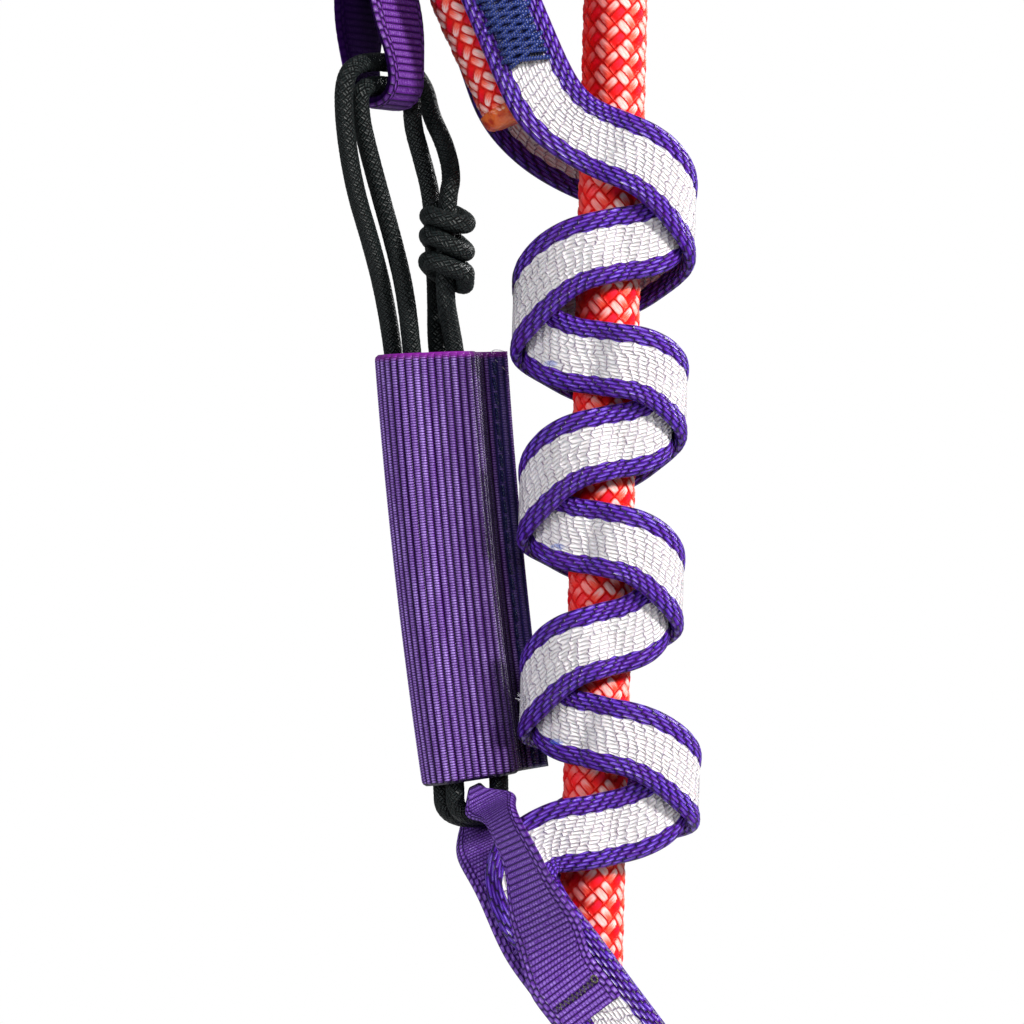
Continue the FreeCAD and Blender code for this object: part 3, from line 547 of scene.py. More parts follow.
def swell(phi, centre, reach):
    """1 at the centre angle, falling to 0 at the reach on both sides of it, in degrees."""
    away = abs((math.degrees(phi) - centre + 180) % 360 - 180)
    return math.cos(math.radians(90 * min(away / reach, 1.0))) ** 2


def wrapped(phi, reach, hand, lift):
    """A point on the oval that a leg follows round the rope, lifted off it."""
    s, c = math.sin(phi), math.cos(phi)
    out = unit([hand * s / reach, -c / HITCH_DEPTH, 0])
    return np.array([hand * reach * s, -HITCH_DEPTH * c, 0.0]) + out * lift


def winding_place(heights, quarter, first_quarter, hand):
    phi = (quarter + first_quarter) * math.pi / 2
    s = math.sin(phi)
    z = winding_height(heights, quarter)
    z = z + BACK_STEEPNESS * math.sin(2 * phi) * math.sin(phi / 2) ** 2
    rise = SIDE_RISE * swell(phi, SIDE_RISE_AT, SIDE_RISE_REACH)
    z += rise - SIDE_SAG * swell(phi, SIDE_SAG_AT, SIDE_SAG_REACH)
    table = RIGHT_REACH if s * hand > 0 else LEFT_REACH
    reach = [value for low, value in table if z >= low][0] - HALF_STEP
    lift = HALF_STEP * math.sin(math.pi / 2 * max(-1.0, min(1.0, s / CHANGE_OVER)))
    return phi, reach, lift, z


def winding_keys(heights, first_quarter, hand):
    """Places of a leg round the rope, bowed across its width to lie on the oval that it follows."""
    keys = []
    turns = len(heights) - 1
    count = turns * 90 // KEY_ANGLE
    small = 0.01
    for i in range(count + 1):
        quarter = turns * i / count
        phi, reach, lift, z = winding_place(heights, quarter, first_quarter, hand)
        nudge = small if quarter < turns - small else -small
        rise = (winding_place(heights, quarter + nudge, first_quarter, hand)[3] - z) / nudge
        onward = wrapped(phi + small, reach, hand, lift) - wrapped(phi, reach, hand, lift)
        run = np.linalg.norm(onward) / small
        slope = math.atan2(rise, run * math.pi / 2)
        points = []
        for share in RAILS:
            aside = share * HITCH_W / 2
            angle = phi
            for _ in range(6):
                here = wrapped(angle, reach, hand, lift)
                speed = np.linalg.norm(wrapped(angle + small, reach, hand, lift) - here) / small
                angle += -aside * math.sin(slope) / 6 / speed
            spot = wrapped(angle, reach, hand, lift)
            points.append(at(spot[0], spot[1], z + aside * math.cos(slope)))
        keys.append((np.array(points), HITCH_T))
    return keys


def lead_frame(place, lean, side):
    """Where a leg's straight upper part starts, and its ways up, across and out."""
    a = math.radians(lean)
    base = at(place[0], side * (ROPE_R + ROPE_GAP + HITCH_T / 2), place[1])
    up = np.array([-math.sin(a), 0, math.cos(a)])
    return base, up, tilted(a), np.array([0, side, 0.0])


def arc(step, start=0):
    """The sine and cosine of angles a step apart, from a start to as much short of half a turn."""
    angles = [math.radians(degrees) for degrees in range(start, 181 - start, step)]
    return [(math.sin(a), math.cos(a)) for a in angles]


def eye_keys(place, lean, side):
    """Up the leg, round its eye and down again over itself, where the two layers are sewn."""
    base, up, across, out = lead_frame(place, lean, side)
    layer = HITCH_T + LAYER_GAP / 2
    top = EYE_START + EYE_STRAIGHT
    route = [(-1.0, 0.0), (EYE_START * 0.5, 0.0), (EYE_START, 0.0), (EYE_START + EYE_STRAIGHT * 0.5, 0.0)]
    route += [(top + EYE_R * s, EYE_R * (1 - c)) for s, c in arc(30)]
    route += [(EYE_START + EYE_STRAIGHT * 0.62, 2 * EYE_R - 0.5),
              (EYE_START + EYE_STRAIGHT * 0.3, EYE_R * 1.05), (EYE_START, layer + 0.4),
              (EYE_START * 0.72, layer), (EYE_START * 0.36, layer), (0.0, layer)]
    return [flat(base + up * s + out * y, across, HITCH_W, HITCH_T) for s, y in route]


def lower_layer(number):
    """The depth of a sewn layer's middle. From behind: front leg, sling, back leg, sling."""
    thicknesses = [HITCH_T, SLING_T, HITCH_T, SLING_T]
    depth = ROPE_R + ROPE_GAP + LAYER_GAP + sum(t + LAYER_GAP for t in thicknesses[:number])
    return -(depth + thicknesses[number] / 2)


def turn_point(degrees, depth):
    """A point of the bend that turns the legs down to where they are sewn, and its way out."""
    out = tilted(math.radians(degrees))
    return at(-4.6, depth, -131.2) + out * TURN_R, out


def along_tack(distance, depth, sideways=0.0):
    """A point of the sewn part, at a distance down from the bend's end."""
    start = turn_point(270 - math.degrees(TACK_WAY), depth)[0]
    return start + DOWN * distance + DOWN_ACROSS * sideways


def front_leg_keys():
    keys = eye_keys(FRONT_LEAD, FRONT_LEAD_LEAN, -1)
    keys.append(flat(at(-8.6, -HITCH_DEPTH - 0.7, -17.3), (0.80, 0, 0.60), HITCH_W, HITCH_T))
    keys += winding_keys(FRONT_LEG_HEIGHTS, 0, 1)
    keys.append(flat(at(-8.0, -4.8, -135.4), (0.55, -0.48, 0.66), HITCH_W, HITCH_T))
    return keys + [flat(along_tack(d, lower_layer(0)), DOWN_ACROSS, HITCH_W, HITCH_T)
                   for d in (8.0, 16.0, 24.0, LOWER_EYE_START)]


def back_leg_keys():
    keys = eye_keys(BACK_LEAD, BACK_LEAD_LEAN, 1)
    keys.append(flat(at(-14.5, HITCH_DEPTH + 1.3, -16.2), (0.87, 0, 0.50), HITCH_W, HITCH_T))
    keys.append(flat(at(-9.0, HITCH_DEPTH + 1.0, -21.3), (0.55, 0, 0.83), HITCH_W, HITCH_T))
    keys += winding_keys(BACK_LEG_HEIGHTS, 2, -1)
    layer = lower_layer(2)
    for degrees, depth in ((105, layer + 1.6), (145, layer + 0.4), (185, layer - 0.45)):
        middle, out = turn_point(degrees, depth)
        keys.append(flat(middle, out, TURN_W, HITCH_T))
    for d, lift in ((0.0, 0.3), (4.0, 0.12), (8.0, 0.0), (16.0, 0.0), (24.0, 0.0), (LOWER_EYE_START, 0.0)):
        keys.append(flat(along_tack(d, layer - lift), -DOWN_ACROSS, HITCH_W, HITCH_T))
    return keys


def lower_eye_keys():
    rear, fore = lower_layer(0), lower_layer(2)
    centre = (rear + fore) / 2
    low = LOWER_EYE_START + LOWER_EYE_STRAIGHT
    parting, spread = LOWER_EYE_START + 1.2, LOWER_EYE_START + 5.6
    route = [(LOWER_EYE_START, rear), (parting, rear), (spread, centre + LOWER_EYE_R - 1.2)]
    route += [(low + LOWER_EYE_R * s, centre + LOWER_EYE_R * c) for s, c in arc(30)]
    route += [(spread, centre - LOWER_EYE_R + 1.2), (parting, fore), (LOWER_EYE_START, fore)]
    return [flat(along_tack(d, y), DOWN_ACROSS, HITCH_W, HITCH_T) for d, y in route]


# The border's yarns float over and dip under: their pitch across, length along, roundness, how far each
# column is set off from the last, and how much a yarn is twisted.
BORDER_FLOATS, BORDER_SHIFT = (0.56, 1.9, 2.6, 0.37, 0.42), 0.3
WHITE_FLOAT, WHITE_LEAN = 1.5, 0.17
BLUE_MARKS = ((-8.3, -54.8), (-6.6, -82.0), (-6.0, -111.0))


def floats_group():
    """Yarns that run along the piece and dip under in turn. Lean sets each column off from the last."""
    asked = ["U", "V", "Pitch", "Step", "Power", "Lean", "Twist", "Side"]
    tree, net, given, out = new_group("yarn_floats", asked, ["Height", "Random", "Fibre", "Along"])
    u, v, pitch, step, power, lean, twist, side = list(given)[:8]
    across = net.m("DIVIDE", v, pitch)
    column = net.m("FLOOR", across)
    wander = net.mul(net.sub(net.chance(column, 3.0), 0.5), 0.16)
    along = net.add(net.add(net.m("DIVIDE", u, step), net.mul(column, lean)), wander)
    row = net.m("FLOOR", along)
    fu = net.sub(net.sub(along, row), 0.5)
    fv = net.add(net.sub(net.sub(across, column), 0.5), net.mul(fu, twist))
    height = net.mul(net.blend(side, 1.0, rounded(net, fv, 2.0)), rounded(net, fu, power))
    finer = net.pack(net.mul(u, 0.9), net.mul(net.add(v, net.mul(fu, 0.14)), 13.0), column)
    fibre = net.noise(finer, 1.0, 3.0, 0.6)
    for value, socket in zip((height, net.chance(column, row, 1.0), fibre, fu), out):
        net.link(value, socket)
    return tree


FLOATS = floats_group()


def webbing_material():
    """White floats in the middle and violet cord-like borders, on both faces, with painted shade in the
    hollows and painted highlights on the borders.
    """
    material, net, shader = fabric("hitch_webbing_weave", sheen=0.02, rough=0.32, specular=0.28,
                                   subsurface=0.05, tint=(0.9, 0.85, 1))
    lie = net.lie()
    u, v = lie[0], lie[1]
    sway = net.sub(net.noise(net.pack(net.mul(u, 0.35), net.mul(v, 0.7)), 1.0), 0.5)
    swayed = net.add(u, net.mul(sway, 1.6)), net.add(v, net.mul(sway, 0.5))
    white = net.call(FLOATS, *swayed, 0.58, WHITE_FLOAT, 2.0, WHITE_LEAN, 0.34, 0.62)
    cords = net.call(FLOATS, u, net.add(v, BORDER_SHIFT), *BORDER_FLOATS, 1.0)
    wave = net.mul(net.m("SINE", net.mul(u, 2.1)), 0.12)
    edge = net.add(net.m("ABSOLUTE", v), wave)
    border = net.ramp(edge, 2.74, 2.84)
    # Painted shade: the white floats are painted a darker mauve where they sit low between each other, and
    # nearly black in small pits at the ends of some of them.
    pale, shade = (0.82, 0.79, 0.80), (0.40, 0.34, 0.42)
    centre = net.mix(net.ramp(white[0], 0.0, 0.62), shade, pale)
    pit_shade = net.mul(net.ramp(net.m("ABSOLUTE", white[3]), 0.38, 0.49), net.ramp(white[1], 0.35, 0.75))
    centre = net.mix(net.mul(pit_shade, 0.85), centre, (0.07, 0.03, 0.10))
    centre = net.mix(net.mul(net.ramp(white[2], 0.45, 0.75), 0.22), centre, (0.50, 0.46, 0.50))
    centre = net.mix(net.mul(white[1], 0.18), centre, (0.48, 0.43, 0.50))
    # Painted shade and highlight: the border's yarns are painted nearly black where they sit low, and pale
    # lavender on their crowns.
    violet, deep_shade, highlight_colour = (0.068, 0.006, 0.36), (0.006, 0.0004, 0.035), (0.33, 0.21, 0.95)
    rim = net.mix(net.ramp(cords[0], 0.18, 0.80), deep_shade, violet)
    glint = net.mul(net.ramp(cords[0], 0.65, 1.0), net.ramp(cords[2], 0.42, 0.72))
    rim = net.mix(glint, rim, highlight_colour)
    rim = net.mix(net.mul(cords[1], 0.4), rim, (0.085, 0.003, 0.20))
    colour = net.mix(border, centre, rim)
    spot = net.node("ShaderNodeSeparateXYZ")
    net.link(net.node("ShaderNodeTexCoord").outputs["Object"], spot.inputs[0])
    for x, z in BLUE_MARKS:
        aside = net.m("DIVIDE", net.sub(spot.outputs[0], (BIGHT_R + x) * MM), 1.3 * MM)
        above = net.m("DIVIDE", net.sub(spot.outputs[2], (LEVEL + z) * MM), 0.6 * MM)
        near = net.ramp(net.add(net.mul(aside, aside), net.mul(above, above)), 1.0, 0.2)
        shown = net.mul(net.m("LESS_THAN", spot.outputs[1], -0.004), net.ramp(white[2], 0.40, 0.55))
        near = net.mul(near, shown)
        colour = net.mix(net.mul(near, 0.75), colour, (0.04, 0.13, 0.62))
    height = net.blend(border, net.mul(net.mul(white[0], white[0]), 0.75), cords[0])
    lay_weave(net, shader, colour, height, 0.50, net.blend(border, white[2], cords[2]), 0.05)
    return material


def turned(v):
    """How far v is from the middle of its unit step, from -0.5 to 0.5, and the step's number."""
    whole = np.floor(v)
    return v - whole - 0.5, whole


def float_bumps(u, v, pitch, step, power, lean=0.5, twist=0.0):
    fv, column = turned(v / pitch)
    fu = turned(u / step + column * lean)[0]
    return dome(2 * (fv + fu * twist)) * dome(2 * fu, power)


def rounded_off(x, start, reach, power):
    """1 up to the start, then rounded down to 0 over the reach."""
    return dome(np.clip((x - start) / reach, 0, 1), power)


def edge_shares(count, crowding):
    """Places across a strip from -1 to 1, closer together near its two edges."""
    return np.sin(np.linspace(-1, 1, count) * math.pi / 2 * crowding) / math.sin(math.pi / 2 * crowding)


def webbing_height(u, v, half):
    """Thin in the middle and thick as a cord at the edges, with the yarns' bumps on both."""
    out = np.abs(v)
    cord = 0.36 + 0.50 * dome(np.clip((out - 4.12) / 1.40, -1, 1), 2.2)
    cord = cord + 0.12 * float_bumps(u, v + BORDER_SHIFT, *BORDER_FLOATS)
    floats = turned(u / WHITE_FLOAT + v / 0.56 * WHITE_LEAN)[0]
    middle = 0.56 + 0.15 * dome(2 * floats, 2.6)
    border = np.clip((out + 0.12 * np.sin(u * 2.1) - 2.70) / 0.20, 0, 1)
    thick = (middle + (cord - middle) * border) * half / (HITCH_T / 2)
    edge = rounded_off(out / (HITCH_W / 2), 0.80, 0.20, 2.4)
    return np.where(out > HITCH_W / 2 - 0.01, 0.0, thick * edge)


webbing = webbing_material()
hitch_shares = edge_shares(37, 0.93)
for name, keys, node in (("hitch_front_leg", front_leg_keys(), "hitch_leg_front"),
                         ("hitch_back_leg", back_leg_keys(), "hitch_leg_back"),
                         ("hitch_bottom_eye", lower_eye_keys(), "hitch_lower_eye")):
    strip_piece(name, keys, HITCH_STEP, hitch_shares, HITCH_W, webbing_height, webbing, "hitch",
                node)

# Lower sling: plain ribbed webbing folded over the middle of the cord's bights, gathered there, turned
# edgeways in front of the rope and sewn to the two legs of the hitch.
SLING_W = 10.8
LOWER_RIB = 0.88
SLING_EDGE = 3.9
TETHER_Y = 2.5
PIN_AT, PIN_D, PIN_LENGTH = (-17.6, -119.3), 2.4, 7.2
STRAP_OFFSET, STRAP_END = -2.4, 18.6


def rib_material(name, rib, edge_at, violet, deep_shade, highlight_colour, shaded_side=0.0):
    """Ribs across the strip, bound by rows of small stitches, with columns of floats at its edges, painted
    darker in the grooves as painted shade and lighter on the crowns as painted highlights.
    """
    material, net, shader = fabric(name, sheen=0.02, rough=0.38, specular=0.22, tint=(0.8, 0.65, 1.0))
    lie = net.lie()
    u, v = lie[0], lie[1]
    ribs = net.call(FLOATS, v, u, rib, 0.55, 2.6, 0.5, 0.0, 1.0)
    cells = net.call(FLOATS, u, v, 0.68, 1.3, 2.2, 0.5, 0.2, 1.0)
    border = net.ramp(net.m("ABSOLUTE", v), edge_at - 0.1, edge_at + 0.1)
    broad = rounded(net, net.sub(net.m("FRACT", net.m("DIVIDE", u, rib)), 0.5), 1.8)
    height = net.blend(border, net.blend(0.45, broad, ribs[0]), cells[0])
    # Painted shade in the grooves between ribs, and painted highlights on their crowns.
    colour = net.mix(net.ramp(height, 0.15, 0.85), deep_shade, violet)
    fibre = net.blend(border, ribs[2], cells[2])
    glint = net.mul(net.ramp(height, 0.65, 1.0), net.ramp(fibre, 0.40, 0.72))
    colour = net.mix(glint, colour, highlight_colour)
    # Painted shade: when a shaded side is given, as for the upper sling, that face is painted nearly black,
    # with its glints damped and its relief lowered.
    if shaded_side:
        inner_shade = net.ramp(net.mul(lie[2], shaded_side), -0.2, 0.2)
        colour = net.mix(net.mul(inner_shade, 0.9), colour, deep_shade)
        net.link(net.blend(inner_shade, 0.22, 0.02), shader.inputs["Specular IOR Level"])
        net.link(net.blend(inner_shade, 0.38, 0.90), shader.inputs["Roughness"])
        height = net.mul(height, net.blend(inner_shade, 1.0, 0.35))
    lay_weave(net, shader, colour, height, 0.28, fibre, 0.04)
    return material


def lower_sling_keys():
    fore, rear = lower_layer(3), lower_layer(1)
    pin = (0.87, 0, 0.45)
    w, t = SLING_W, SLING_T
    x, z = PIN_AT
    y = TETHER_Y
    half = PIN_LENGTH / 2
    keys = [
        (along_tack(STRAP_END, fore, STRAP_OFFSET), DOWN_ACROSS, w, t),
        (along_tack(14.8, fore, STRAP_OFFSET), DOWN_ACROSS, w, t),
        (along_tack(11.0, fore - 0.2, STRAP_OFFSET + 0.1), DOWN_ACROSS, w, t),
        (at(-6.5, fore - 2.1, -139.2), (0.80, -0.30, 0.52), w, t),
        (at(-9.0, fore - 4.0, -133.6), (0.62, -0.66, 0.42), w, t),
        (at(-10.6, fore - 5.0, -128.5), (0.44, -0.84, 0.28), w, t),
        (at(-12.6, fore - 4.0, -124.4), (0.40, -0.86, 0.25), 10.0, t + 0.1),
        (at(-14.8, y - half - 6.0, -121.2), (0.66, -0.60, 0.42), 8.6, t + 0.3),
        (at(x + 1.2, y - half - 1.8, z - 0.9), (0.88, -0.15, 0.45), 6.4, 2.0),
        (at(x, y - half, z), pin, PIN_D, PIN_D),
        (at(x, y - half * 0.6, z), pin, PIN_D, PIN_D),
        (at(x, y + half * 0.6, z), pin, PIN_D, PIN_D),
        (at(x, y + half, z), pin, PIN_D, PIN_D),
        (at(x + 0.2, y + half + 1.8, z - 1.3), pin, 4.4, 2.2),
        (at(-16.6, y + half + 1.6, -123.6), (0.90, 0, 0.42), 8.0, t + 0.3),
        (at(-15.6, y + 0.3, -126.3), (0.90, 0, 0.42), w, t),
        (at(-14.6, -2.6, -128.3), (0.89, 0, 0.45), w, t),
        (at(-12.6, -7.0, -131.4), (0.85, 0, 0.53), w, t),
        (along_tack(3.5, rear - 0.15, STRAP_OFFSET + 0.3), DOWN_ACROSS, w, t),
    ]
    keys += [(along_tack(d, rear, STRAP_OFFSET), DOWN_ACROSS, w, t) for d in (7.2, 11.0, 14.8, STRAP_END)]
    return [flat(*key) for key in keys]


def sling_height(rib):
    """Ribs across the strip, with columns of bumps along its two edges."""
    def height(u, v, half):
        out = np.abs(v) / (SLING_W / 2)
        border = np.clip((out - 0.69) / 0.08, 0, 1)
        edge = rounded_off(out, 0.80, 0.20, 2.4)
        ribs = 0.22 * dome(2 * turned(u / rib)[0]) * (1 - border)
        cells = 0.12 * float_bumps(u, v, 0.72, 1.5, 2.2) * border
        return np.where(out > 0.999, 0.0, (half * 0.86 - 0.10 + ribs + cells) * edge)
    return height


sling_shares = edge_shares(35, 0.95)
violet_sling = rib_material("lower_sling_weave", LOWER_RIB, SLING_EDGE, (0.10, 0.018, 0.29),
                            (0.008, 0.0006, 0.038), (0.42, 0.28, 0.78))
strip_piece("lower_sling_webbing", lower_sling_keys(), 0.25, sling_shares, SLING_W, sling_height(LOWER_RIB),
            violet_sling, "hitch", "lower_sling")

# Cord: one black braided cord laid twice round, so that four strands run through the sleeve, closed
# by a knot of three and a quarter wraps. The strand inside the knot is the cord's two ends.
CORD_D = 2.85
CORD_STRANDS, CORD_SPACING, CORD_RISE = 8, 1.1, 0.14
CORD_STEP, KNOT_STEP, CORD_AROUND = 0.30, 0.22, 36
KNOT_AT, KNOT_MIDDLE, KNOT_GAP = (-24.4, -2.0), -37.6, 0.6
KNOT_TURNS, KNOT_PITCH = 3.25, 3.3
KNOT_TOP, KNOT_FOOT = -31.0, -44.3
KNOT_LEAN = 2.0
CORD_ROUTE = [
    (-24.4, -2.0, -30.5), (-23.7, 0.6, -27.0), (-25.0, 4.2, -22.0), (-27.3, 6.6, -17.6),
    (-28.2, 7.3, -13.4), (-31.0, 3.7, -10.2), (-37.6, -4.7, -10.4), (-40.1, -8.0, -13.0),
    (-39.9, -7.9, -20.0), (-38.2, -5.6, -29.4), (-35.6, -2.2, -37.3), (-33.6, 1.8, -44.5),
    (-31.8, 3.7, -54.0), (-27.3, 4.4, -86.0), (-22.9, 4.2, -117.0), (-22.7, 4.2, -123.2),
    (-14.3, 4.8, -123.2), (-14.4, 4.9, -114.0), (-20.0, 5.0, -84.0), (-25.5, 4.2, -54.0),
    (-25.7, 4.3, -44.5), (-26.3, 4.6, -37.0), (-26.8, 4.7, -29.8), (-28.6, 4.8, -23.6),
    (-30.0, 4.6, -19.2), (-30.2, 4.3, -13.75), (-37.8, -5.3, -13.75), (-37.6, -5.2, -18.6),
    (-36.5, -4.6, -23.0), (-34.5, -3.2, -29.8), (-32.2, -1.2, -37.3), (-30.3, 0.4, -44.5),
    (-29.0, 1.7, -54.0), (-25.0, 2.0, -86.0), (-20.9, 0.9, -117.0), (-20.9, 0.9, -122.6),
    (-14.35, 1.5, -122.6), (-14.55, 1.6, -114.0), (-18.3, 1.9, -84.0), (-22.5, 2.2, -54.0),
    (-23.5, 1.5, -49.2), (-24.4, -2.0, -44.8)]


def cord_material():
    material, net, shader = fabric("black_cord_braid", sheen=0.01, rough=0.40, specular=0.20,
                                   tint=(0.75, 0.9, 0.9))
    lie = net.lie()
    braid = net.call(BRAID, *list(lie)[:3], CORD_STRANDS, CORD_SPACING)
    height, fibre = braid["Height"], braid["Fibre"]
    # Painted highlight: the braid is painted near black, and a lighter teal-grey on the crowns of its
    # strands.
    dark, light = (0.0006, 0.0008, 0.0010), (0.009, 0.014, 0.014)
    lit = net.ramp(net.add(height, net.mul(net.sub(fibre, 0.5), 0.7)), 0.45, 1.0)
    lay_weave(net, shader, net.mix(lit, dark, light), height, 0.20, fibre, 0.03)
    return material


def knot_end(side):
    """Where a cord end stops in the knot's middle: above for 1, below for -1."""
    return (KNOT_AT[0], KNOT_AT[1], KNOT_MIDDLE + side * KNOT_GAP / 2)


def knot_line():
    """The knot's wraps, drawn tight so that they lean down to the right across its front."""
    radius = CORD_D + 0.15
    height = KNOT_TURNS * KNOT_PITCH
    low = (KNOT_TOP + KNOT_FOOT) / 2 - height / 2
    turn = np.linspace(0, KNOT_TURNS * 2 * math.pi, 260)
    squeeze = 1 - 0.10 * np.sin(turn * 0.5) ** 2
    lean = -KNOT_LEAN * np.cos(turn) * np.sin(turn / turn[-1] * math.pi) ** 0.5
    x = BIGHT_R + KNOT_AT[0] + radius * squeeze * np.cos(turn)
    z = LEVEL + low + KNOT_PITCH / (2 * math.pi) * turn + lean
    line = np.stack([x, KNOT_AT[1] + radius * np.sin(turn), z], axis=1)
    start, end = unit(line[1] - line[0]), unit(line[-1] - line[-2])
    steps = np.linspace(0.15, 1, 7)[:, None]
    return np.concatenate([(line[0] - start * CORD_D * steps)[::-1], line, line[-1] + end * CORD_D * steps])


black_cord = cord_material()
cord_skin = braid_relief(CORD_STRANDS, CORD_SPACING, CORD_RISE)
cord_places = [at(*p) for p in [knot_end(1)] + CORD_ROUTE + [knot_end(-1)]]
cord, cord_line = tube_piece("tether_cord", nurbs_route("cord_line", cord_places), CORD_D / 2, CORD_STEP,
                             CORD_AROUND, cord_skin, black_cord, "tether", ("cord_loop",),
                             first=(0, -1, 0.001))
knot = tube_piece("tether_knot", knot_line(), CORD_D / 2, KNOT_STEP, CORD_AROUND, cord_skin, black_cord,
                  "tether", ("cord_knot",), first=(0, 0, 1), round_ends=0.8)[0]

# Sleeve: one piece of ribbed webbing wrapped round the four strands, its two edges laid together and
# sewn as a flange on the right with one line of dark blue running stitches.
SLEEVE_TOP, SLEEVE_FOOT = (-27.0, -53.5), (-18.6, -117.3)
SLEEVE_LENGTH = 64.4
SLEEVE_SLOPES, SLEEVE_HALVES = (3.7, 10.0), (7.8, 7.4)
SLEEVE_WALL, FLANGE_W = 1.1, 4.4
SLEEVE_RIB, SLEEVE_RIB_RISE = 1.1, 0.26
SLEEVE_OUTLINE = [(1.0, 4.4), (1.0, 1.0), (0.92, -2.6), (0.52, -4.3), (0.0, -4.7), (-0.5, -4.2),
                  (-0.87, -2.0), (-1.0, 1.2), (-0.87, 3.8), (-0.5, 5.2), (0.0, 5.9), (0.5, 6.3), (0.93, 6.5)]
FLANGE_ROOT, FLANGE_TIP = (4.3, 6.4), (6.0, 8.2)
SLEEVE_ROWS, SLEEVE_COLUMNS = 205, 240
SLEEVE_BOW = 0.6
SEAM_STITCH = ((0.0, -0.15), (0.10, 0.16), (0.3, 0.27), (0.55, 0.29), (0.82, 0.24), (0.93, 0.10),
               (1.0, -0.15))
SEAM_GAP = 0.0075


def sleeve_path(half):
    """From the flange's tip on the viewer's side, round the tube and back to its tip behind."""
    t = SLEEVE_WALL / 2
    tip, seam, root = half + FLANGE_W, half + FLANGE_W * 0.5, half + 0.35
    fore = [(tip, FLANGE_TIP[0] + t), (seam, 5.1 + t), (root, FLANGE_ROOT[0] + t * 0.9)]
    tube = [(half * u, y) for u, y in SLEEVE_OUTLINE]
    inset = []
    for i, (x, y) in enumerate(tube):
        bx, by = tube[i - 1]
        ax, ay = tube[(i + 1) % len(tube)]
        run = math.hypot(ax - bx, ay - by)
        inset.append((x + (ay - by) / run * t, y - (ax - bx) / run * t))
    rear = [(root, FLANGE_ROOT[1] - t * 0.2), (seam, 7.3 - t), (tip, FLANGE_TIP[1] - t)]
    points = np.array(fore + inset[1:] + rear)
    reach = lengths(points)
    return through(reach, points, np.linspace(0, reach[-1], SLEEVE_COLUMNS)), reach[-1]


def sleeve_place(share):
    """The sleeve's middle, half its width and its way across, at a share of the way down."""
    slope = math.radians(SLEEVE_SLOPES[0] + (SLEEVE_SLOPES[1] - SLEEVE_SLOPES[0]) * share)
    half = SLEEVE_HALVES[0] + (SLEEVE_HALVES[1] - SLEEVE_HALVES[0]) * share
    bow = SLEEVE_BOW * 4 * share * (1 - share)
    x = SLEEVE_TOP[0] + (SLEEVE_FOOT[0] - SLEEVE_TOP[0]) * share - bow
    z = SLEEVE_TOP[1] + (SLEEVE_FOOT[1] - SLEEVE_TOP[1]) * share
    return at(x, TETHER_Y, z), half, tilted(slope)


def sleeve_surface(share):
    """A row of the sleeve, as points and the lengths across it, at a share of the way down."""
    middle, half, across = sleeve_place(share)
    path, width = sleeve_path(half)
    row = middle + path[:, :1] * across + path[:, 1:] * np.array([0, 1.0, 0])
    return row, np.linspace(0, width, SLEEVE_COLUMNS) - width / 2


# How far across the sleeve's webbing the flange's front face meets the tube.
FRONT_EDGE = FLANGE_W - sleeve_path(SLEEVE_HALVES[0])[1] / 2


def sleeve_material():
    """Ribs down the sleeve with painted highlights on them and painted shade between them, a painted shadow
    in the hollow beside the flange, and dark blue under its seam.
    """
    material, net, shader = fabric("sleeve_weave", sheen=0.03, rough=0.36, specular=0.3,
                                   tint=(0.8, 0.65, 1.0))
    lie = net.lie()
    u, v = lie[0], lie[1]
    ribs = net.call(FLOATS, v, u, SLEEVE_RIB, 0.40, 2.4, 0.5, 0.0, 1.0)
    broad = rounded(net, net.sub(net.m("FRACT", net.m("DIVIDE", u, SLEEVE_RIB)), 0.5), 1.6)
    height = net.mul(net.blend(0.30, ribs[0], broad), net.ramp(net.m("ABSOLUTE", v), 32.2, 31.6))
    violet, deep_shade, highlight_colour = (0.100, 0.011, 0.25), (0.005, 0.0004, 0.020), (0.50, 0.33, 0.88)
    # Painted shade between the ribs, and painted highlights along their crowns, stronger in some patches.
    colour = net.mix(net.ramp(height, 0.30, 0.85), deep_shade, violet)
    patch = net.ramp(net.noise(net.pack(net.mul(u, 0.5), net.mul(v, 0.12)), 1.0, 2.0), 0.35, 0.7)
    lit = net.mul(net.ramp(height, 0.66, 0.95), net.ramp(ribs[2], 0.30, 0.6))
    colour = net.mix(net.mul(lit, net.blend(patch, 0.45, 1.0)), colour, highlight_colour)
    # Painted shadow: beside the flange's front edge the tube is painted nearly black, where the hitch keeps
    # the key lamp off it, fading out over about 19 mm.
    from_edge = net.ramp(u, FRONT_EDGE - 1.5, FRONT_EDGE + 0.5)
    hollow = net.mul(from_edge, net.ramp(u, FRONT_EDGE + 19.0, FRONT_EDGE + 2.5))
    colour = net.mix(net.mul(hollow, 0.80), colour, (0.006, 0.0006, 0.020))
    from_tip = net.ramp(u, FRONT_EDGE - 3.9, FRONT_EDGE - 3.4)
    band = net.mul(from_tip, net.ramp(u, FRONT_EDGE - 0.6, FRONT_EDGE - 1.2))
    colour = net.mix(net.mul(band, 0.7), colour, (0.018, 0.022, 0.12))
    colour = net.mix(net.ramp(v, -31.0, -31.8), colour, (0.19, 0.012, 0.26))
    lay_weave(net, shader, colour, height, 0.36, ribs[2], 0.03)
    return material


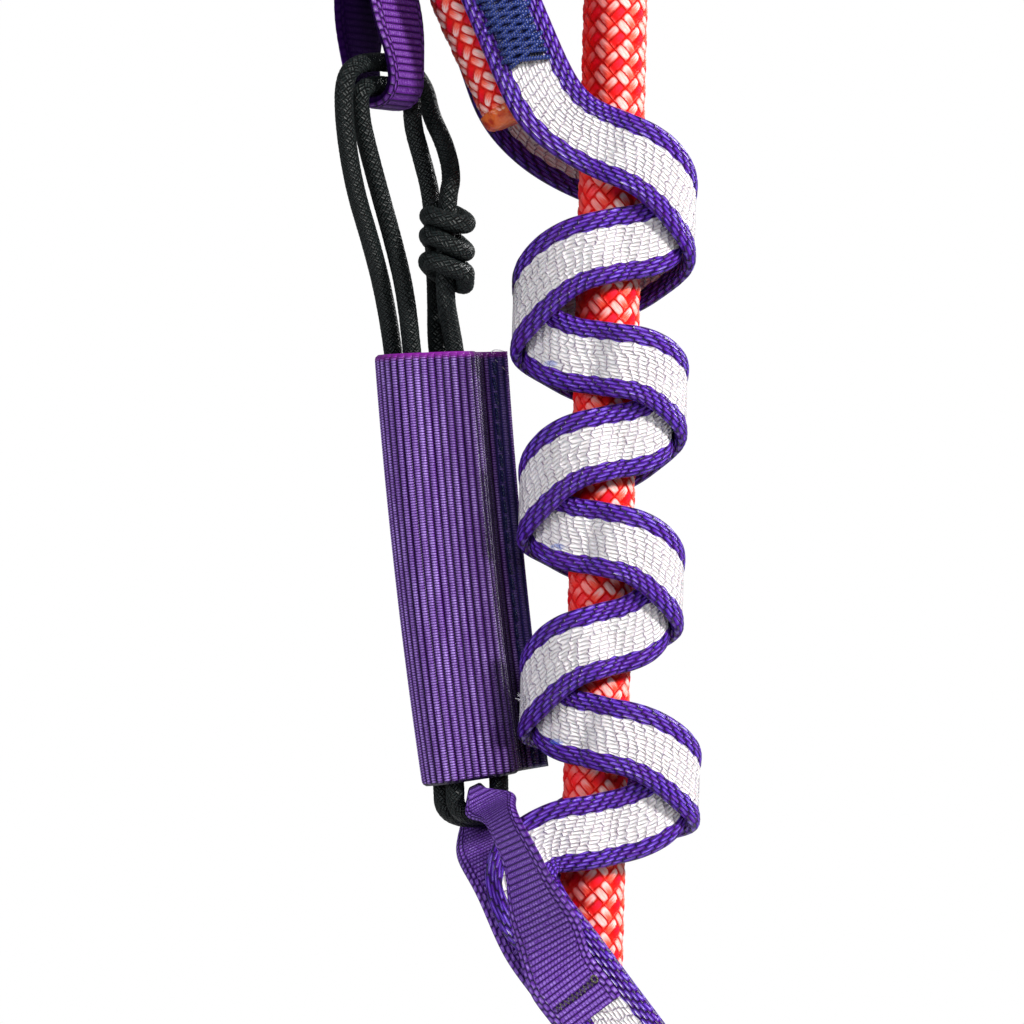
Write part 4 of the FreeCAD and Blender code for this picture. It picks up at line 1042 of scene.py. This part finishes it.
def sleeve_piece():
    shares = np.linspace(0, 1, SLEEVE_ROWS)
    rows, around = zip(*[sleeve_surface(share) for share in shares])
    middle = np.array(rows)
    across = np.array(around)
    down = ((shares - 0.5) * SLEEVE_LENGTH)[:, None] * np.ones_like(across)
    normal = unit(np.cross(np.gradient(middle, axis=1), np.gradient(middle, axis=0)))
    rim = rounded_off(np.abs(shares - 0.5), 0.485, 0.015, 2.2)[:, None]
    hem = rounded_off(np.abs(np.linspace(-1, 1, SLEEVE_COLUMNS)), 0.985, 0.015, 2.2)[None, :]
    beside, rib = turned(across / SLEEVE_RIB)
    ribs = SLEEVE_RIB_RISE * dome(2 * beside, 1.6)
    fine = 0.03 * dome(2 * turned(down / 0.80 + rib * 0.5)[0])
    height = (SLEEVE_WALL / 2 - SLEEVE_RIB_RISE + ribs + fine) * rim * hem
    loop, lie = both_faces(middle, normal, height, across, down)
    faces = ring_faces(SLEEVE_ROWS, loop.shape[1])
    make_piece("sleeve_webbing", loop.reshape(-1, 3), faces.tolist(), sleeve_material(), lie.reshape(-1, 3),
               "sleeve", ("sleeve",))


sleeve_piece()


def thread_material(name, dark, light):
    material, net, shader = fabric(name, sheen=0.03, rough=0.32, specular=0.4)
    lie = net.lie()
    twist = net.add(net.mul(lie[0], 2.4), net.m("DIVIDE", net.m("ARCTAN2", lie[2], lie[1]), math.pi))
    ply = rounded(net, net.sub(net.m("FRACT", twist), 0.5), 2.0)
    finer = net.pack(net.mul(lie[0], 1.5), net.mul(lie[1], 3.0), net.mul(lie[2], 3.0))
    fibre = net.noise(finer, 2.0, 3.0)
    # Painted highlight and shade: each thread is painted lighter on the crowns of its twisted plies and
    # darker between them.
    colour = net.mix(net.ramp(net.add(ply, net.mul(net.sub(fibre, 0.5), 0.8)), 0.2, 1.0), dark, light)
    lay_weave(net, shader, colour, ply, 0.12)
    return material


def threads(name, lines, radius, material, body, nodes=(), count=8):
    """Many short stitches as one piece. Each line is a list of points."""
    verts, faces, lie = [], [], []
    for line in lines:
        line = np.asarray(line, float)
        t = lengths(line)
        along, side, other = carried_frames(line, np.array([0.31, -0.9, 0.27]))
        first = len(verts)
        for i, p in enumerate(line):
            r = radius * (0.35 if i in (0, len(line) - 1) else 1.0)
            for c in range(count):
                a = 2 * math.pi * c / count
                verts.append(p + r * (math.cos(a) * side[i] + math.sin(a) * other[i]))
                lie.append((t[i], math.cos(a), math.sin(a)))
        faces += ring_faces(len(line), count, first)[:, ::-1].tolist()
        faces.append([first + c for c in range(count)])
        faces.append([first + (len(line) - 1) * count + c for c in reversed(range(count))])
    make_piece(name, verts, faces, material, lie, body, nodes)


def flange_spot(share, across, lift):
    """A point on the flange's front face: a share of the way down, across from its root."""
    middle, half, sideways = sleeve_place(share)
    y = FLANGE_ROOT[0] + (FLANGE_TIP[0] - FLANGE_ROOT[0]) * (across + 0.4) / (FLANGE_W + 0.4)
    return middle + sideways * (half + across) + np.array([0, y - lift, 0])


def seam_stitches():
    lines = []
    share = 0.025
    while share < 0.97:
        length = 0.030 + rng.uniform(-0.002, 0.002)
        across = FLANGE_W * 0.5 + rng.uniform(-0.10, 0.10)
        lean = rng.uniform(0.0, 0.35)
        line = []
        for s, lift in SEAM_STITCH:
            line.append(flange_spot(share + length * s, across + lean * (s - 0.5), lift))
        lines.append(line)
        share += length + SEAM_GAP
    return lines


rng = np.random.default_rng(7)
navy_thread = thread_material("navy_thread", (0.002, 0.003, 0.022), (0.010, 0.014, 0.085))
threads("sleeve_seam_stitches", seam_stitches(), 0.27, navy_thread, "sleeve",
        ("sleeve_seam_thread",))

# Upper sling: plain webbing folded through the top of the cord, tacked together above it, with an
# eye above the tack.
UPPER_AT, UPPER_TURN, UPPER_LEAN = (-34.3, -0.5, -12.3), math.radians(52.0), -0.12
UPPER_FOLD_R, UPPER_FOLD_W, UPPER_FOLD_T, UPPER_GATHER_H = 4.2, 7.6, 1.9, 7.0
UPPER_TACK, UPPER_EYE_R, UPPER_EYE_AT = (13.0, 19.0), 9.2, 36.0
UPPER_ACROSS = np.array([math.cos(UPPER_TURN), math.sin(UPPER_TURN), 0])
UPPER_FORE = np.array([math.sin(UPPER_TURN), -math.cos(UPPER_TURN), 0])
UPPER_RIB = 1.0


def upper_point(height, offset):
    """A point of the upper sling's fold, on its leaning middle line or out from it."""
    x, y, z = UPPER_AT
    return at(x + UPPER_LEAN * (height - z), y, height) + UPPER_FORE * offset


def upper_sling_keys():
    layer = SLING_T + LAYER_GAP
    z, r = UPPER_AT[2], UPPER_FOLD_R
    low, high = UPPER_TACK
    middle = layer / 2
    route = [(high, -layer), (low, -layer), ((low + z) / 2 + 5.0, -0.62 * r), (z + 7.0, -0.93 * r), (z, -r)]
    route += [(z - r * s, -r * c) for s, c in arc(30, 30)]
    route += [(z, r), (z + 7.0, 0.93 * r), ((low + z) / 2 + 5.0, 0.48 * r), (low, 0.0),
              ((low + high) / 2, 0.0), (high, 0.0), (high + 2.0, -0.8),
              ((high + UPPER_EYE_AT) / 2 - 1.0, middle - UPPER_EYE_R * 0.75)]
    route += [(UPPER_EYE_AT + UPPER_EYE_R * s, middle - UPPER_EYE_R * c) for s, c in arc(36)]
    route += [((high + UPPER_EYE_AT) / 2 - 1.0, middle + UPPER_EYE_R * 0.75), (high + 2.0, layer + 0.8),
              (high, layer), ((low + high) / 2, layer), (low, layer)]
    keys = []
    for height, offset in route:
        share = max(0.0, min(1.0, (height - z) / UPPER_GATHER_H))
        width = UPPER_FOLD_W + (SLING_W - UPPER_FOLD_W) * share
        thick = UPPER_FOLD_T + (SLING_T - UPPER_FOLD_T) * share
        keys.append(flat(upper_point(height, offset), UPPER_ACROSS, width, thick))
    return keys


dark_sling = rib_material("upper_sling_weave", UPPER_RIB, SLING_EDGE, (0.080, 0.007, 0.19),
                          (0.008, 0.0006, 0.030), (0.26, 0.12, 0.46), 1.0)
strip_piece("upper_sling_webbing", upper_sling_keys(), 0.34, sling_shares, SLING_W, sling_height(UPPER_RIB),
            dark_sling, "upper_sling", "upper_sling")

# Tacks: the sewn blocks that close the eyes, made of single crossing threads over a bed of long
# ones. The lower sling's is a zigzag of olive thread that ends in a small knot.
EYE_TACK_L, EYE_TACK_W, EYE_TACK_PITCH, EYE_TACK_RISE = 14.0, 6.6, 0.60, 0.60
BED_THREADS = 16
ZIGZAG_THREAD = ((-1.0, -0.18), (-0.93, 0.55), (-0.6, 0.95), (0.0, 1.0), (0.6, 0.95), (0.93, 0.55),
                 (1.0, -0.18))
ZIGZAG_AT = 14.6


def zigzag_block(centre, along, across, out, length, width, pitch, lift, waver=0.12, lean=0.45, under=4):
    """Threads that run across a block, leaning one way and then the other, over long ones."""
    lines = []
    for share in np.linspace(-0.42, 0.42, under):
        row = []
        for s in np.linspace(-1, 1, 9):
            height = lift * 0.30 + (0 if abs(s) < 0.97 else -0.2)
            row.append(centre + along * (s * length / 2) + across * (share * width) + out * height)
        lines.append(row)
    count = int(length / pitch)
    for i in range(count):
        s = -length / 2 + length * (i + 0.5) / count
        way = lean if i % 2 else -lean
        reach = width / 2 + rng.uniform(-waver, waver)
        off = rng.uniform(-0.08, 0.08)
        row = []
        for w, h in ZIGZAG_THREAD:
            forward = along * (s + off + way * w * pitch * 0.9)
            row.append(centre + forward + across * (w * reach) + out * (lift * h))
        lines.append(row)
    return lines


def eye_tack(place, lean, side):
    base, up, across, out = lead_frame(place, lean, side)
    centre = base + up * (EYE_TACK_L / 2) + out * (HITCH_T + LAYER_GAP / 2 + HITCH_T / 2)
    return zigzag_block(centre, up, across, out, EYE_TACK_L, EYE_TACK_W, EYE_TACK_PITCH, EYE_TACK_RISE,
                        0.6, 1.9, BED_THREADS)


blue_thread = thread_material("blue_thread", (0.0008, 0.001, 0.010), (0.012, 0.030, 0.19))
for name, place, lean, side in (("front_eye", FRONT_LEAD, FRONT_LEAD_LEAN, -1),
                                ("back_eye", BACK_LEAD, BACK_LEAD_LEAN, 1)):
    lines = eye_tack(place, lean, side)
    threads(name + "_stitches", lines[BED_THREADS:], 0.36, blue_thread, "hitch",
            (name + "_tack",))
    # The bed under the crossing threads is given the darker navy thread as painted shade beneath them.
    threads(name + "_bed", lines[:BED_THREADS], 0.27, navy_thread, "hitch",
            (name + "_tack",))

olive_thread = thread_material("olive_thread", (0.020, 0.018, 0.012), (0.10, 0.092, 0.055))
lower_centre = along_tack(ZIGZAG_AT, lower_layer(3) - SLING_T / 2 - 0.10, STRAP_OFFSET)
wave = [lower_centre + DOWN_ACROSS * (0.36 * i - 3.6) + DOWN * (0.42 * (-1) ** i + rng.uniform(-0.12, 0.12))
        for i in range(21)]
thread_knot = [lower_centre + DOWN_ACROSS * (3.7 + 0.42 * math.cos(a)) + DOWN * (0.55 * math.sin(a) - 0.3)
               + np.array([0, -0.03 * a, 0]) for a in np.arange(0, 11, 0.5)]
threads("lower_sling_stitches", [wave, thread_knot], 0.15, olive_thread, "hitch",
        ("lower_sling_tack",))


# Loose ends of yarn: a hair that stands off the flange's top corner, and tufts beside the hitch.
# They are drawn as single fine threads.
def hair(start, end, bow):
    """A yarn from start to end, bowed to one side."""
    way = np.array(end) - np.array(start)
    return [np.array(start) + way * s + np.array(bow) * 4 * s * (1 - s) for s in np.linspace(0, 1, 12)]


def tuft(middle, reach, count):
    lines = []
    for _ in range(count):
        end = middle + rng.normal(0, 1, 3) * reach * (0.8, 0.3, 1.0)
        lines.append(hair(middle, end, rng.normal(0, 0.35, 3)))
    return lines


pale_thread = thread_material("loose_yarn", (0.30, 0.28, 0.36), (0.75, 0.73, 0.80))
corner, landing = flange_spot(0.0, FLANGE_W * 0.9, 0.1), flange_spot(0.05, FLANGE_W * 0.95, 0.1)
stray = hair(corner, landing, (-2.2, -0.6, 1.2))
threads("sleeve_stray_yarn", [stray], 0.06, pale_thread, "sleeve", count=5)
tufts = tuft(at(-11.0, -3.4, -105.0), 1.0, 14) + tuft(at(-10.8, -3.4, -76.5), 0.5, 5)
threads("hitch_stray_yarn", tufts, 0.06, pale_thread, "hitch", count=5)

# Upper sling's tack: the same crossing threads in navy, where the sling's two ends are sewn in above
# the cord.
upper_up = unit(upper_point(UPPER_TACK[1], 0) - upper_point(UPPER_TACK[0], 0))
upper_out = unit(np.cross(UPPER_ACROSS, upper_up))
upper_out = upper_out if np.dot(upper_out, UPPER_FORE) > 0 else -upper_out
upper_centre = upper_point(sum(UPPER_TACK) / 2, SLING_T + LAYER_GAP + SLING_T / 2)
upper_block = zigzag_block(upper_centre, upper_up, UPPER_ACROSS, upper_out, 4.8, 7.8, 0.55, 0.40)
threads("upper_sling_stitches", upper_block, 0.20, navy_thread, "upper_sling",
        ("upper_sling_tack",))


# Core: the twelve strands and the marker yarn that the sheath hides keep their own solids. The
# strands are undyed, and the marker yarn is blue.
def core_material(name, dark, light):
    material, net, shader = fabric(name, sheen=0.1, rough=0.5)
    place = net.node("ShaderNodeTexCoord").outputs["Object"]
    wave = net.node("ShaderNodeTexWave", wave_type="BANDS", bands_direction="DIAGONAL")
    net.link(place, wave.inputs["Vector"])
    wave.inputs["Scale"].default_value = 900.0
    wave.inputs["Distortion"].default_value = 1.5
    fibre = net.noise(place, 2500.0, 3.0)
    colour = net.mix(net.mul(wave.outputs["Fac"], fibre), dark, light)
    lay_weave(net, shader, colour, wave.outputs["Fac"], 0.08)
    return material


core = core_material("core_nylon", (0.55, 0.53, 0.48), (0.86, 0.85, 0.80))
marker = core_material("core_marker", (0.10, 0.20, 0.45), (0.25, 0.45, 0.75))
for name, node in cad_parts.items():
    if name.startswith("core_"):
        node.data.materials.clear()
        node.data.materials.append(marker if name == "core_marker_yarn" else core)

# Floor, light and camera. The object hangs in front of a white ground, lit from the upper right by a
# small hard lamp and filled softly from the other sides.
FLOOR_HEIGHT, FLOOR_SIZE = -0.30, 0.5
bpy.ops.mesh.primitive_plane_add(size=FLOOR_SIZE, location=(0, 0, FLOOR_HEIGHT))
floor = bpy.context.object
floor.name = "floor"
floor_material = bpy.data.materials.new("floor_white")
floor_material.use_nodes = True
floor_net = Net(floor_material.node_tree)
floor_shader = floor_material.node_tree.nodes["Principled BSDF"]
grain = floor_net.noise(floor_net.node("ShaderNodeTexCoord").outputs["Object"], 40.0, 2.0)
floor_colour = floor_net.mix(grain, (0.80, 0.80, 0.80), (0.84, 0.84, 0.84))
floor_net.link(floor_colour, floor_shader.inputs["Base Color"])
floor_shader.inputs["Roughness"].default_value = 0.6
floor.data.materials.append(floor_material)

world = bpy.data.worlds.new("studio")
bpy.context.scene.world = world
world.use_nodes = True
sky = Net(world.node_tree)
world.node_tree.nodes.clear()
seen = sky.node("ShaderNodeBackground")
seen.inputs["Color"].default_value = (1, 1, 1, 1)
ambient = sky.node("ShaderNodeBackground")
ambient.inputs["Color"].default_value = (0.93, 0.95, 1.0, 1)
ambient.inputs["Strength"].default_value = 0.17
rays = sky.node("ShaderNodeLightPath")
shown = sky.m("MAXIMUM", rays.outputs["Is Camera Ray"], rays.outputs["Is Transmission Ray"])
both = sky.node("ShaderNodeMixShader")
ends = sky.node("ShaderNodeOutputWorld")
for value, socket in ((shown, both.inputs[0]), (ambient.outputs[0], both.inputs[1]),
                      (seen.outputs[0], both.inputs[2]), (both.outputs[0], ends.inputs["Surface"])):
    sky.link(value, socket)


def camera_frame(place, toward, up):
    """The turning and place of something that looks from a place toward a point."""
    back = unit(np.asarray(place, float) - np.asarray(toward, float))
    right = unit(np.cross(up, back))
    above = np.cross(back, right)
    rows = [[right[i], above[i], back[i], place[i]] for i in range(3)]
    return Matrix(rows + [[0, 0, 0, 1]])


def area_light(name, place, toward, size, power, colour=(1, 1, 1)):
    data = bpy.data.lights.new(name, "AREA")
    data.shape = "DISK"
    data.size, data.energy, data.color = size, power, colour
    lamp = bpy.data.objects.new(name, data)
    lamp.matrix_world = camera_frame(place, toward, (0, 0.01, 1))
    bpy.context.scene.collection.objects.link(lamp)


CENTRE = (-0.0015, 0.0, -0.0817)
area_light("key", (0.80, -0.50, 0.50), CENTRE, 0.16, 19.0, (1.0, 0.98, 0.95))
area_light("front", (0.10, -0.95, 0.35), CENTRE, 0.40, 4.0)
area_light("fill", (-0.85, -0.30, 0.10), CENTRE, 0.35, 4.0, (0.95, 0.96, 1.0))
area_light("rim", (0.60, 0.55, 0.35), CENTRE, 0.35, 5.0)

VIEW_HEIGHT, LENS, SENSOR = 0.1532, 200.0, 36.0
CAMERA_UP = (-0.02589, 0.0, 0.99966)
camera_data = bpy.data.cameras.new("camera")
camera_data.lens, camera_data.sensor_width = LENS, SENSOR
camera_data.clip_start, camera_data.clip_end = 0.05, 10.0
camera = bpy.data.objects.new("camera", camera_data)
distance = VIEW_HEIGHT * LENS / SENSOR
camera.matrix_world = camera_frame((CENTRE[0], -distance, CENTRE[2]), CENTRE, CAMERA_UP)
bpy.context.scene.collection.objects.link(camera)
bpy.context.scene.camera = camera
bpy.context.scene.view_settings.view_transform = "Standard"
